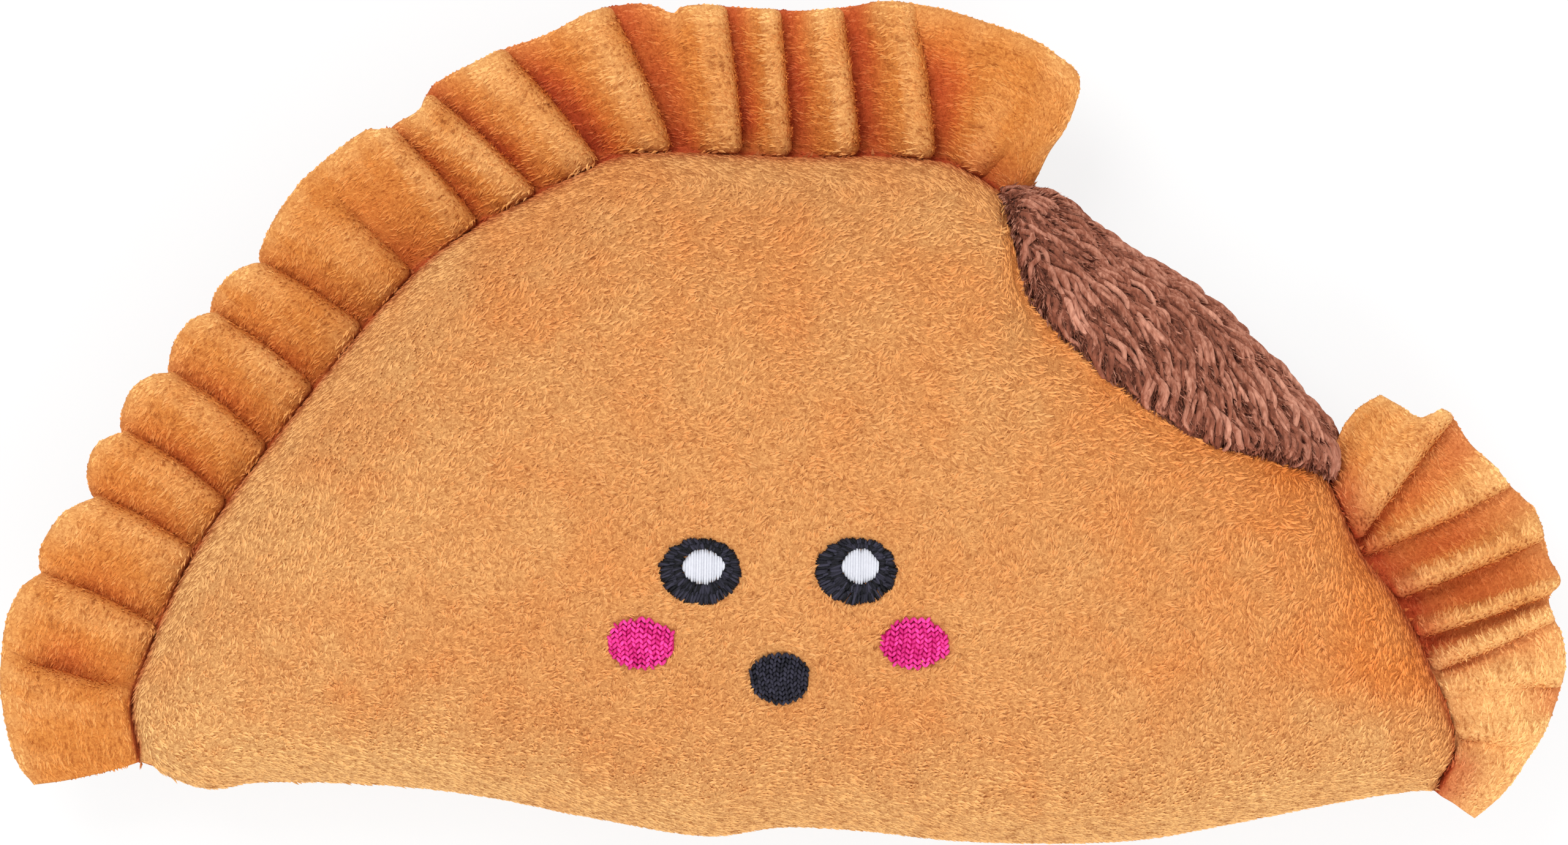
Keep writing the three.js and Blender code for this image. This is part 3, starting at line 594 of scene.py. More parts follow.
def length_property(name, description, default, low=0.0, high=1.0):
    return bpy.props.FloatProperty(name=name, description=description, subtype="DISTANCE", unit="LENGTH",
                                   precision=5, default=default, min=low, max=high)


def number_property(name, description, default, low=0.0, high=10.0):
    return bpy.props.FloatProperty(name=name, description=description, default=default, min=low, max=high)


class DoughSettings(bpy.types.PropertyGroup):
    """Sizes and colours of the two panels."""

    colour: colour_property("Colour", "Plush of the body", rgb(226, 164, 100))
    light: colour_property("Light", "What the lit tufts gain", (0.11, 0.085, 0.045, 1))
    # Painted shade in the gaps of the pile.
    dark: colour_property("Dark", "What is left of the colour in the gaps of the pile", (0.48, 0.34, 0.27, 1))
    # Painted light on the lit left slope and along the straight side.
    pale: colour_property("Pale", "Plush near the left seam and the straight side", rgb(238, 186, 120))
    # Mostly painted shade, on the side turned from the light and near the edges.
    warm: colour_property("Warm", "Plush towards the right and the top", rgb(230, 138, 62))
    # Painted shade in the seams and where the edge turns over at the bite.
    deep: colour_property("Deep", "Plush in the seams", rgb(186, 92, 46))
    tuft: length_property("Tuft length", "Length of one tuft of the pile", 0.0013)
    tuft_width: length_property("Tuft width", "Width of a tuft at its waist", 0.00048)
    front_density: number_property("Front density", "Tufts on a square millimetre of the front", 2.55)
    back_density: number_property("Back density", "Tufts on a square millimetre of the back", 1.3)


class CrustSettings(bpy.types.PropertyGroup):
    """Sizes and colours of the gathered crust."""

    colour: colour_property("Colour", "Plush of the ruffle", rgb(222, 146, 71))
    light: colour_property("Light", "What the lit tufts gain", (0.11, 0.085, 0.04, 1))
    # Painted shade in the gaps of the pile.
    dark: colour_property("Dark", "What is left of the colour in the gaps of the pile", (0.6, 0.45, 0.37, 1))
    # Painted highlight on the ridges, and a paler outer edge.
    pale: colour_property("Pale", "Rubbed ridges and the outer edge", rgb(252, 200, 130))
    # Painted shade on the sides of the folds.
    warm: colour_property("Warm", "Sides of the folds", rgb(224, 121, 54))
    # Painted shade in the bottom of the folds and beside the seam.
    deep: colour_property("Deep", "Bottom of the folds", rgb(198, 86, 48))
    height: length_property("Fold height", "Height of a ridge over the middle of the strip", 0.0032)
    tuft: length_property("Tuft length", "Length of one tuft of the pile", 0.0013)
    tuft_width: length_property("Tuft width", "Width of a tuft at its waist", 0.00042)
    rib: length_property("Rib pitch", "From one row of tufts to the next", 0.0006)
    density: number_property("Density", "Tufts on a square millimetre", 2.7)


class FillingSettings(bpy.types.PropertyGroup):
    """Sizes and colours of the fleece in the bite."""

    colour: colour_property("Colour", "Fleece", rgb(143, 84, 64))
    light: colour_property("Light", "Lit curls", rgb(214, 152, 127))
    # Painted shade in the gaps between the curls.
    dark: colour_property("Dark", "Gaps between the curls", rgb(58, 22, 16))
    lock: length_property("Curl length", "Length of one curl of the fleece", 0.0086)
    lock_width: length_property("Curl width", "Thickness of a curl", 0.00088)
    locks: bpy.props.IntProperty(name="Curls", description="How many curls there are", default=1150, min=1)


class StitchSettings(bpy.types.PropertyGroup):
    """Sizes and colours of the embroidery."""

    black: colour_property("Black", "Thread of the eyes and the mouth", rgb(7, 7, 11))
    white: colour_property("White", "Thread of the highlights", rgb(189, 190, 198))
    pink: colour_property("Pink", "Thread of the cheeks", rgb(184, 4, 92))
    black_light: colour_property("Lit black", "Where the black thread shines", rgb(56, 54, 68))
    white_light: colour_property("Lit white", "Where the white thread shines", rgb(227, 228, 235))
    pink_light: colour_property("Lit pink", "Where the pink thread shines", rgb(244, 70, 164))
    pitch: length_property("Pitch", "From one thread to the next", 0.00042)
    radius: length_property("Thread radius", "Half the thickness of a thread", 0.00024)
    height: length_property("Height", "How far the stitches stand over the plush's backing", 0.0006)


class InsideSettings(bpy.types.PropertyGroup):
    """Colours of what the toy holds."""

    wadding: colour_property("Wadding", "Loose stuffing", rgb(239, 238, 233))
    bellows: colour_property("Bellows", "Soft plastic of the squeaker", rgb(232, 229, 219))
    whistle: colour_property("Whistle", "Hard plastic of the whistle", rgb(216, 216, 212))
    lump: length_property("Lump", "Size of the wadding's lumps", 0.006)


class StageSettings(bpy.types.PropertyGroup):
    """Camera, light and floor."""

    distance: length_property("Camera distance", "From the camera to the seam", 2.2, 0.1, 20.0)
    key: number_property("Key light", "Power of the large soft lamp, in watts", 11.0, 0, 1000)
    side: number_property("Low light", "Power of the lamp beyond the straight side, in watts", 8.0, 0, 1000)
    sky: number_property("Sky", "Strength of the light from all round", 0.9)
    floor: colour_property("Floor", "Colour of the floor", (0.9, 0.9, 0.9, 1.0))


# Body panels

def body_columns(crust, bite, side):
    """Columns from the straight side to the crust, the bite and the side."""
    spaced = (1 - np.cos(np.pi * np.arange(bite + 1) / bite)) / 2
    shares = {"crust": np.arange(crust) / crust, "bite": spaced, "side": np.arange(1, side + 1) / side}
    whole, before, made = sum(LINES[n].length for n in shares), 0.0, []
    for name, share in shares.items():
        on_bite = share if name == "bite" else np.zeros_like(share)
        from_bite = {"crust": 1 - share, "bite": share * 0, "side": share}[name] * LINES[name].length
        made.append(np.column_stack([LINES[name].at(share), (before + share * LINES[name].length) / whole,
                                     on_bite, from_bite]))
        before += LINES[name].length
    made = np.vstack(made)
    return {"head": made[:, :2], "along": made[:, 2], "on_bite": made[:, 3], "from_bite": made[:, 4],
            "foot": LINES["base"].at(made[:, 2])}


def panel_skin(panel, columns):
    """The outer skin of a panel over the seam plane, as heights and places, and how each section ends."""
    along, on_bite = columns["along"], columns["on_bite"]
    crown = panel["crown"] * (1 - np.abs(2 * along - 1) ** panel["reach"]) ** 0.8
    rise = panel["bite"] * np.sqrt(np.maximum(np.sin(np.pi * on_bite), 0))
    end = np.pi - np.arcsin(np.minimum(rise / np.maximum(crown, 1e-6), 1) ** (1 / panel["arch"]))
    turn = end[:, None] * np.arange(panel["rows"] + 1) / panel["rows"]
    share = (1 - np.cos(turn)) / (1 - np.cos(end))[:, None]
    to_corner = np.minimum(along, 1 - along) * LINES["base"].length
    foot_gap = mix(SEAM_GAP, 0.12, ease(to_corner / 4))
    height = mix(foot_gap[:, None], SEAM_GAP, share)
    height = height + crown[:, None] * np.maximum(np.sin(turn), 0) ** panel["arch"]
    soft = 0.25
    height = np.where(height > panel["limit"] - 6,
                      -soft * np.logaddexp(-height / soft, -panel["limit"] / soft), height)
    flat = columns["foot"][:, None] + (columns["head"] - columns["foot"])[:, None] * share[..., None]
    return flat, height, share, crown


def near_patch(flat, margin):
    """From 0 away from the embroidery to 1 on it."""
    found = np.zeros(flat.shape[:-1])
    patches = [(c, EYE_SIZE) for c, _ in EYES.values()] + [(c, CHEEK_SIZE) for c in CHEEKS.values()]
    for centre, size in patches + [(MOUTH, MOUTH_SIZE)]:
        away = np.linalg.norm((flat - place(centre)) / (np.array(size) / 2 + margin), axis=-1)
        found = np.maximum(found, ease((1.25 - away) / 0.3))
    return found


def panel_lumps(panel, columns, skin, height, crown, from_head, from_foot):
    """How far the stuffed cloth stands out from its even form, with small gathers beside the seams."""
    free = ease(from_head / 4) * ease(from_foot / 4) * (crown[:, None] > 4)
    lumps = 0.35 * cloud(skin, 16, 3) + 0.16 * cloud(skin, 6, 4) + 0.08 * cloud(skin, 2.6, 5)
    head_along = np.cumsum(np.linalg.norm(np.gradient(columns["head"], axis=0), axis=1))[:, None]
    gather = cloud(stacked(head_along, from_head * 0.15, 0.0), 4.2, 6)
    foot_gather = cloud(stacked(columns["foot"][:, :1], from_foot * 0.15, 9.0), 9, 7)
    lumps = lumps * free - 0.55 * np.exp(-from_head / 5) * (1 + gather) * ease(from_head / 1.5)
    lumps = lumps - 0.4 * np.exp(-from_foot / 7) * (1 + foot_gather) * ease(from_foot / 2)
    if panel["down"]:
        return np.minimum(lumps, 0) * (height < panel["limit"] - 0.4)
    return lumps - 0.4 * near_patch(skin[..., :2], 0.2)


def allowance(at, way, length, rise):
    """One more row of places, that far on in the plane and that much higher."""
    return with_height(at[:, :2] + way * length, at[:, 2] + rise)[:, None]


def panel_heads(columns, outer, inner, span, over_seam, up):
    """Both skins beyond the last row: an allowance in the seam, or a round lip at the bite."""
    direction = unit(columns["head"] - columns["foot"])
    step = np.arange(1, LIP_STEPS + 1)[:, None] / LIP_STEPS
    slope = outer[:, -1] - outer[:, -2]
    fall = np.arctan2(-up * slope[:, 2], (slope[:, :2] * direction).sum(1))[:, None]
    turn = fall + (LIP_TURN - fall) * step[None, :, 0]
    size = np.maximum(LIP_RADIUS * ease(over_seam / 5), 0.15)
    roll = np.concatenate([direction[:, None] * (size * (np.sin(turn) - np.sin(fall)))[..., None],
                           (up * size * (np.cos(turn) - np.cos(fall)))[..., None]], -1) + outer[:, -1:]
    under = with_height(roll[:, -1, :2] - direction * 0.7, roll[:, -1, 2])[:, None]
    tuck = np.minimum(RUFFLE_TUCK, columns["from_bite"] * 0.2)[:, None] + 0.6
    tuck = np.minimum(np.maximum(tuck, 0.4), span[:, None] * 0.36)
    seam_out = mix(outer[:, -1:], allowance(outer[:, -1], -direction, tuck, 0), step)
    seam_in = mix(inner[:, -1:], allowance(outer[:, -1], -direction, tuck, up * ALLOWANCE_THICKNESS), step)
    on_bite = ((columns["on_bite"] > 0) & (columns["on_bite"] < 1))[:, None, None]
    return (np.where(on_bite, roll, seam_out), np.where(on_bite, mix(inner[:, -1:], under, step), seam_in),
            on_bite[:, 0])


def panel_grids(panel):
    """Outer and inner skin of a panel with its turned-in seam allowances, its normals and its tints."""
    columns = body_columns(*panel["columns"])
    flat, height, share, crown = panel_skin(panel, columns)
    up = -1.0 if panel["down"] else 1.0
    skin = with_height(flat, up * height)
    normals = grid_normals(skin, up * UP)
    span = np.linalg.norm(columns["head"] - columns["foot"], axis=1)
    from_head, from_foot = (1 - share) * span[:, None], share * span[:, None]
    outer = skin + normals * panel_lumps(panel, columns, skin, height, crown, from_head, from_foot)[..., None]
    inner = skin - normals * np.minimum(PANEL_THICKNESS, crown * 0.22)[:, None, None]
    inner[..., 2] = up * np.maximum(up * inner[..., 2], SEAM_GAP + ALLOWANCE_THICKNESS)
    direction = unit(columns["head"] - columns["foot"])
    tip = np.minimum(FOOT_ALLOWANCE, span * 0.36)[:, None]
    foot_out = allowance(outer[:, 0], direction, tip, 0)
    foot_in = allowance(outer[:, 0], direction, tip, up * ALLOWANCE_THICKNESS)
    head_out, head_in, on_bite = panel_heads(columns, outer, inner, span, height[:, -1:] - SEAM_GAP, up)
    whole = np.concatenate([foot_out, outer, head_out], 1) + SEAM_AT * UP
    keep = np.ones(whole.shape[:2])
    keep[:, 0], keep[:, -LIP_STEPS - 1:] = 0, on_bite
    more = ((0, 0), (1, LIP_STEPS))
    marks = {k: np.pad(v, more, mode="edge") for k, v in tint_of(flat, from_head, from_foot, columns).items()}
    # Painted shade where the edge turns over into the bite.
    marks["deep"][:, -LIP_STEPS:] += 0.6 * ease(np.arange(1, LIP_STEPS + 1) / LIP_STEPS * 1.3 - 0.3)
    marks["deep"] = np.clip(marks["deep"], 0, 1)
    return {"outer": whole, "inner": np.concatenate([foot_in, inner, head_in], 1) + SEAM_AT * UP,
            "keep": keep, "marks": marks, "normals": grid_normals(whole, up * UP),
            "flat": np.pad(flat, more + ((0, 0),), mode="edge")}


def tint_of(flat, from_head, from_foot, columns):
    """Where the plush is paler and where it is redder: painted light on the left slope and along the straight
    side, painted shade in the seams, on the right side, at the right edge and in a patch near the short
    ruffle, and warmer by the bite and towards the top, with random patches.
    """
    x, y = flat[..., 0], flat[..., 1]
    on_bite = ease(np.minimum(columns["on_bite"], 1 - columns["on_bite"]) * 12)[:, None]
    # Painted light on the left slope, which faces the light, and along the straight side.
    left = ease((-15 - x) / 80)
    low = ease(1 - from_foot / (16 + 9 * ease((x - 20) / 50)))
    # Painted shade in the seams, and in a band beside the right seam.
    seam = 0.8 * np.exp(-(from_head / 0.6) ** 2) * (1 - on_bite)
    seam = seam + 0.35 * np.exp(-(from_head / 2.5) ** 2) * ease((x - 68) / 15) * ease((y + 52) / 14)
    # Painted shade on the right side and at the right edge, which turn from the light.
    right = ease((x - 30) / 60) * ease((y + 50) / 22)
    edge = np.exp(-from_head / 9) * ease((x - 55) / 30)
    top = 0.14 * ease((y + 5) / 35)
    patches = cloud(with_height(flat), 7, 61) + 0.7 * cloud(with_height(flat), 3, 62)
    # Painted shade in a patch near the short ruffle's lower end.
    spot = 0.55 * np.exp(-((x - 90) / 8) ** 2 - ((y + 38) / 6) ** 2)
    # The warm mark is mostly painted shade; it is also warmer by the bite and towards the top.
    warm = 0.42 * right + 0.45 * edge + spot + 0.45 * on_bite * np.exp(-from_head / 9) + top
    warm = np.clip(warm + 0.14 * patches, 0, 1)
    pale = np.clip(0.55 * left + 0.8 * low - 0.12 * patches, 0, 1) * (1 - warm)
    return {"pale": pale, "deep": np.clip(seam, 0, 1), "warm": warm * (1 - 0.8 * low)}


def flow(flat, seed, rng):
    """The way the pile of a panel lies, which turns a little from place to place and from tuft to tuft."""
    at = with_height(flat)
    x, y = flat[..., 0], flat[..., 1]
    steep = 5 + 42 * ease((5 - y) / 30) + 35 * ease((x - 35) / 40) * ease((-10 - y) / 25)
    turn = np.radians(steep) + 0.5 * cloud(at, 9, seed) + 0.95 * cloud(at, 2.4, seed + 1)
    turn = turn + 0.7 * cloud(at, 1.2, seed + 2) * mix(0.4, 1, ease((y + 58) / 10))
    turn = turn + rng.normal(0, 1, len(x)) * mix(0.4, 0.15, ease((x - 20) / 50)) * ease((y + 58) / 14)
    return stacked(np.cos(turn), np.sin(turn), 0.0)


def streaks(points, lay, size, seed, step):
    """Noise from about -1 to 1 that is drawn out along the way the pile lies."""
    drawn = sum(cloud(points + lay * (k * step), size, seed) for k in (-2, -1, 0, 1, 2)) / 5
    return np.clip(drawn * 2.8, -1, 1)


def tuft_tones(lump, rng):
    """Most tufts are light, with a painted highlight, and the rest are dark, painted shade for the gaps
    between them.
    """
    light = 0.51 + 0.12 * np.maximum(lump, 0) + 0.72 * np.minimum(lump + 0.22, 0)
    return np.clip(light + rng.normal(0, 0.07, len(lump)), 0, 1)


def make_panel(name, panel, density, cloth, pile):
    """A plush panel and the pile on it."""
    grids, seed = panel_grids(panel), panel["seed"]
    body = Mesh()
    # The cloth between the tufts has a low tone: painted shade in the pile's gaps.
    body.sheet(grids["outer"], grids["inner"], tone=np.full(grids["flat"].shape[:-1], 0.2), **grids["marks"])
    sew(body.make(name, cloth), panel["node"], slot="dough_plush", padded=0.85)
    rng = np.random.default_rng(seed)
    keep = grids["keep"]
    if not panel["down"]:
        keep = keep * (near_patch(grids["flat"], -0.25) < 0.6)
    roots, normals, read = scatter(grids["outer"], grids["normals"], density, rng, keep)
    marks = {k: read(v) for k, v in grids["marks"].items()}
    if panel["down"]:
        free = roots[:, 2] > 1.2
        roots, normals, marks = roots[free], normals[free], {k: v[free] for k, v in marks.items()}
    n = len(roots)
    flatter = ease((np.abs(normals[:, 2]) - 0.35) / 0.4)
    round_it = unit(np.cross(UP, normals))
    lay = unit(mix(round_it, flow(roots[:, :2], seed + 10, rng), flatter[:, None]))
    lump = streaks(roots, lay, 0.5, seed + 20, 0.2)
    lift = mix(11, rng.uniform(9, 19, n) + 4 * lump, flatter)
    strand = Mesh()
    fibres(strand, roots + normals * (0.1 * lump * flatter)[:, None], normals, lay,
           pile.tuft / MM * rng.uniform(0.75, 1.2, n) * (1 + 0.15 * lump) * mix(0.85, 1, flatter),
           pile.tuft_width / MM * rng.uniform(0.8, 1.25, n), np.radians(lift), tuft_tones(lump, rng), **marks)
    sew(strand.make(name + "_pile", cloth, smooth=False), slot="dough_plush")


class TOY_OT_panels(bpy.types.Operator):
    """Makes the two plush panels with their pile"""

    bl_idname = "toy.panels"
    bl_label = "Plush panels"

    def execute(self, context):
        dough = context.scene.toy_dough
        cloth = plush("dough_plush", dough)
        make_panel("front_plush", FRONT, dough.front_density, cloth, dough)
        make_panel("back_plush", BACK, dough.back_density, cloth, dough)
        return {"FINISHED"}


# Crust ruffle

def fold_columns(folds):
    """Every column of the ruffle: its place among the folds and its height, with full and with no folding."""
    turns = []
    for i, width in enumerate(folds[:-1, 5]):
        turns += [(i + s, 2 * math.sin(math.pi / 2 * s**width) - 1) for s in FOLD_RISE]
        turns += [(i + x, z) for x, z in FOLD_DROP]
    count = len(FOLD_RISE) + len(FOLD_DROP)
    turns.append((len(folds) - 1, -1))
    plain = np.arange(len(turns)) / count
    return smooth_through(np.column_stack([turns, plain]), FOLD_STEPS)


def ruffle_plan(seam, folds, edge):
    """A ruffle seen from above, and how its folds stand: where each column starts on the seam and where it
    lies, its place among the folds, how deep they are there and how high, and how far it is from the seam."""
    full, high, plain = fold_columns(folds).T[:, :, None]
    v, number = RUFFLE_ROWS[None], np.arange(len(folds))
    beside = np.floor(plain) + ease((plain - np.floor(plain) - 0.3) / 0.4)
    start, middle, end = (np.interp(beside, number, folds[:, k]) for k in (1, 2, 3))
    depth = np.where(v < 0.5, mix(start, middle, ease(v * 2)), mix(middle, end, ease(v * 2 - 1)))
    across = np.clip(mix(plain, full, depth), 0, number[-1])
    share = np.interp(across, number, folds[:, 0])
    root, way = seam.at(share), seam.way(share)
    outline = smooth_through(edge, 10)
    order = np.maximum.accumulate(outline[:, 0])
    tip = np.stack([np.interp(across, order, outline[:, k]) for k in (1, 2)], -1) * VIEW_WIDTH
    bow = sum(fold[4] * np.exp(-2 * np.abs(across - i)) for i, fold in enumerate(folds)) * np.sin(np.pi * v)
    return SimpleNamespace(
        plain=plain, across=across, depth=depth, level=1 - (1 - high) * depth, share=share,
        root=root, way=way, flat=root + (tip - root) * v[..., None] - way * bow[..., None],
        out=v * np.linalg.norm(tip - root, axis=-1))


def tucked_edge(seam, plan):
    """The edge of the allowance between the panels and half its thickness. It fills the body's corners."""
    root, share = plan.root[:, 0], plan.share[:, :1]
    inward = np.minimum(RUFFLE_TUCK, np.minimum(share, 1 - share) * seam.length * 0.2)
    edge, half = root - left_of(plan.way[:, 0]) * inward, 0.85
    for end, toward in ((0, 1), (1, -1)):
        side = LINES["base"].way(end) * toward
        near = np.exp(-(np.linalg.norm(root - LINES["base"].at(end), axis=1) / 1.6) ** 2)[:, None]
        edge = edge + near * (side * 3.6 + toward * left_of(side) * 0.7)
        half = half - 0.6 * near
    return with_height(edge, SEAM_AT[2])[:, None], half[:, :, None] * UP


def ruffle_tints(plan, ruffle, rise):
    """Painted shade and light on the ruffle: red painted shade deep in its folds and beside the seam, warm
    painted shade on their sides, and a painted highlight on the ridges; it is also paler towards the outer
    edge, past a given fold and by a share all over.
    """
    v, seed = RUFFLE_ROWS[None], ruffle["seed"]
    folded = plan.depth * rise * (1 + 0.35 * cloud(with_height(plan.flat), 5, seed + 3))
    # Paler past a given fold, with less painted shade beside the seam there.
    paler_past = ease((plan.across - ruffle["paler_past"]) / 1.2)
    beside = 1 - 0.85 * paler_past * (1 - ease((plan.across - 7.1) * 2))
    valleys = mix(*ruffle["valleys"], ease((plan.across - 7.5) / 2))
    seam_shade, first = ruffle["seam_shade"]
    # Painted shade beside the seam, from a given fold.
    redder = seam_shade * ease(plan.across - first) * np.exp(-((plan.out / 4.5) ** 2))
    # Painted shade in the valleys and along the seam.
    deep = valleys * ease((0.22 - plan.level) / 0.85) * folded
    deep = deep + (0.85 * np.exp(-((plan.out / 0.6) ** 2)) + redder) * beside
    # Painted shade on the sides of the folds.
    warm = ease((0.9 - plan.level) / 1.2) * folded * mix(mix(0.45, 0.1, v), 1, valleys)
    lines = cloud(stacked(plan.share * LINES[ruffle["seam"]].length, v * 2.2, 5.0), 0.9, seed + 4)
    # Painted highlight on the ridges; paler towards the outer edge, past a given fold and all over, with
    # streaks.
    pale = mix(0.25, 0.5, valleys) * ease((plan.level - 0.55) / 0.45) * folded
    pale = pale + 0.35 * ease((v - 0.75) / 0.25) + paler_past + ruffle["pale"]
    pale = pale + 0.32 * lines * rise * ease((plan.level + 0.2) / 0.8)
    return {"deep": np.clip(deep, 0, 1), "warm": np.clip(warm, 0, 1), "pale": np.clip(pale, 0, 1)}


def ruffle_grids(ruffle, height):
    """Upper and lower skin of a ruffle with its allowance, its normals and tints, and where its pile lies."""
    seam, seed, folds = LINES[ruffle["seam"]], ruffle["seed"], np.array(ruffle["folds"], float)
    plan = ruffle_plan(seam, folds, ruffle["edge"])
    v, last = RUFFLE_ROWS[None], len(folds) - 1
    low = np.sqrt(np.clip(1 - (1 - np.clip(plan.out / 3.2, 0, 1)) ** 2, 0, 1))
    rise = np.where(plan.level > 0, mix(0.14, 1, low), low) * (1 - 0.22 * v)
    ends = ease(plan.across / 0.35) * ease((last - plan.across) / 0.35)
    pitch = np.interp(plan.plain - 0.5, np.arange(last), np.diff(folds[:, 0]) * seam.length)
    at = with_height(plan.flat)
    ribs = cloud(stacked(plan.share * seam.length, v * 2.0, 0.0), 1.7, seed)
    lumps = 0.35 * cloud(at, 7, seed + 1) + 0.22 * ribs * rise + 0.12 * cloud(at, 2.4, seed + 2)
    tall = np.minimum(height, 0.33 * pitch) * mix(0.2, 1, ends)
    over = tall * plan.level * rise - RUFFLE_DROOP * v**2 + lumps * rise
    middle = with_height(plan.flat, over + SEAM_AT[2])
    normals = unit(mix(UP, grid_normals(middle, UP), ease(plan.out / 1.6)[..., None]))
    thick = np.minimum(mix(1.7, RUFFLE_THICKNESS, ease(v * 5)), 0.5 + 0.16 * pitch)
    thick = thick * np.sqrt(np.clip(1 - ((v - 0.95) / 0.05).clip(0, 1) ** 2, 0.02, 1))
    half = normals * thick[..., None] / 2
    edge, edge_half = tucked_edge(seam, plan)

    def pad(x):
        return np.concatenate([x[:, :1], x], 1)

    return {"upper": np.concatenate([edge + edge_half, middle + half], 1),
            "lower": np.concatenate([edge - edge_half, middle - half], 1),
            "normals": pad(normals), "way": pad(plan.way * np.ones_like(plan.flat)), "out": pad(plan.out),
            "edge": pad(np.broadcast_to(ease((v - 0.85) / 0.15), plan.level.shape)), "share": pad(plan.share),
            "marks": {name: pad(tint) for name, tint in ruffle_tints(plan, ruffle, rise).items()}}


def make_ruffle(name, ruffle, cloth, crust):
    """A gathered ruffle and its pile, which lies in rows across the folds."""
    grids, seed, rib = ruffle_grids(ruffle, crust.height / MM), ruffle["seed"], crust.rib / MM
    strip = Mesh()
    # The cloth between the tufts has a low tone: painted shade in the pile's gaps.
    strip.sheet(grids["upper"], grids["lower"], tone=np.full(grids["share"].shape, 0.17), **grids["marks"])
    piece = sew(strip.make(name, cloth), ruffle["node"], slot="crust_plush")
    rng = np.random.default_rng(seed + 5)
    keep = np.ones(grids["share"].shape)
    keep[:, :2] = 0
    pile = Mesh()
    for skin, side, density in (("upper", 1.0, crust.density), ("lower", -1.0, crust.density * 0.5)):
        roots, normals, read = scatter(grids[skin], grids["normals"] * side, density, rng, keep)
        n = len(roots)
        way, from_seam, edge = read(grids["way"]), read(grids["out"]), read(grids["edge"])
        over = unit(read(np.gradient(grids[skin], axis=0)))
        out = unit(with_height(left_of(way)))
        row = np.round(from_seam / rib + 0.25 * cloud(roots, 3, seed + 6))
        roots = roots + out * ((row * rib - from_seam) * 0.8 * (1 - edge))[:, None]
        along = read(grids["share"]) * LINES[ruffle["seam"]].length
        lump = np.clip(2.2 * cloud(stacked(along * 0.4, row * 0.61, 0.0), 0.55, seed + 7), -1, 1)
        turn = (rng.normal(0, 0.22, n) + 0.55 * cloud(roots, 2.5, seed + 8)) * (1 - 0.9 * edge)
        lay = -over * np.cos(turn)[:, None] + out * np.sin(turn)[:, None]
        length = crust.tuft / MM * rng.uniform(0.75, 1.2, n) * (1 - 0.45 * edge)
        length = np.minimum(length * mix(0.7, 1, ease(from_seam / 1.5)), 0.15 + along * 1.2)
        width = crust.tuft_width / MM * rng.uniform(0.8, 1.25, n)
        lift = np.radians(rng.uniform(7, 17, n)) * (1 - edge)
        fibres(pile, roots + normals * (0.1 * lump)[:, None], normals, lay, length, width, lift,
               tuft_tones(lump, rng), **{k: read(m) for k, m in grids["marks"].items()})
    tufts = sew(pile.make(name + "_pile", cloth, smooth=False), slot="crust_plush")
    area = sum(cell_areas(grids[skin]).sum() for skin in ("upper", "lower")) / 2
    width = RUFFLE_WIDTH * MM
    area * MM * MM / width


class TOY_OT_crust(bpy.types.Operator):
    """Makes the two gathered ruffles of the crust with their pile"""

    bl_idname = "toy.crust"
    bl_label = "Crust ruffles"

    def execute(self, context):
        crust = context.scene.toy_crust
        cloth = plush("crust_plush", crust)
        for name, ruffle in RUFFLES.items():
            make_ruffle(name, ruffle, cloth, crust)
        return {"FINISHED"}


# Fleece in the bite

def gusset_grids(columns, rows):
    """Outer and inner skin of the fleece between the panels' edges at the bite, which it swells out of."""
    bite, gusset = LINES["bite"], LINES["gusset"]
    end = 0.7 / bite.length
    share = mix(end, 1 - end, (1 - np.cos(np.pi * np.arange(columns) / (columns - 1))) / 2)
    root, crest = bite.at(share), gusset.at(share)
    width = np.linalg.norm(crest - root, axis=1)[:, None]
    way = unit(crest - root)
    bell = np.sqrt(np.sin(np.pi * share))[:, None]
    q = np.linspace(-1, 1, rows)[None]
    start = 0.3 + np.minimum(2.4, width / 3)
    out = mix(start, width, 1 - q**2)
    z = q * np.where(q > 0, SEAM_GAP + FRONT["bite"] * bell, SEAM_GAP + BACK["bite"] * bell) + SEAM_AT[2]
    bend = np.array([1.0, 0.66, 0.33])[None]
    inward = mix(start, -0.2, bend)
    side_on = np.minimum(1.9, 0.3 * np.abs(z[:, -1:] - SEAM_AT[2])) * bend**1.5
    out = np.concatenate([inward, out, inward[:, ::-1]], 1)
    z = np.concatenate([z[:, :1] + side_on, z, z[:, -1:] - side_on[:, ::-1]], 1)
    outer = with_height(root[:, None] + way[:, None] * out[..., None], z)
    normals = grid_normals(outer, with_height(way)[:, None])
    inner = outer - normals * np.minimum(2.6, width / 3)[..., None]
    outer = outer + normals * (0.5 * cloud(outer, 3.5, 51))[..., None]
    reach = 2.2 * np.exp(-share * bite.length / 3) - 0.8 * np.exp((share - 1) * bite.length / 3)
    outer[..., :2] -= (bite.way(share) * reach[:, None])[:, None]
    return outer, inner, normals, share


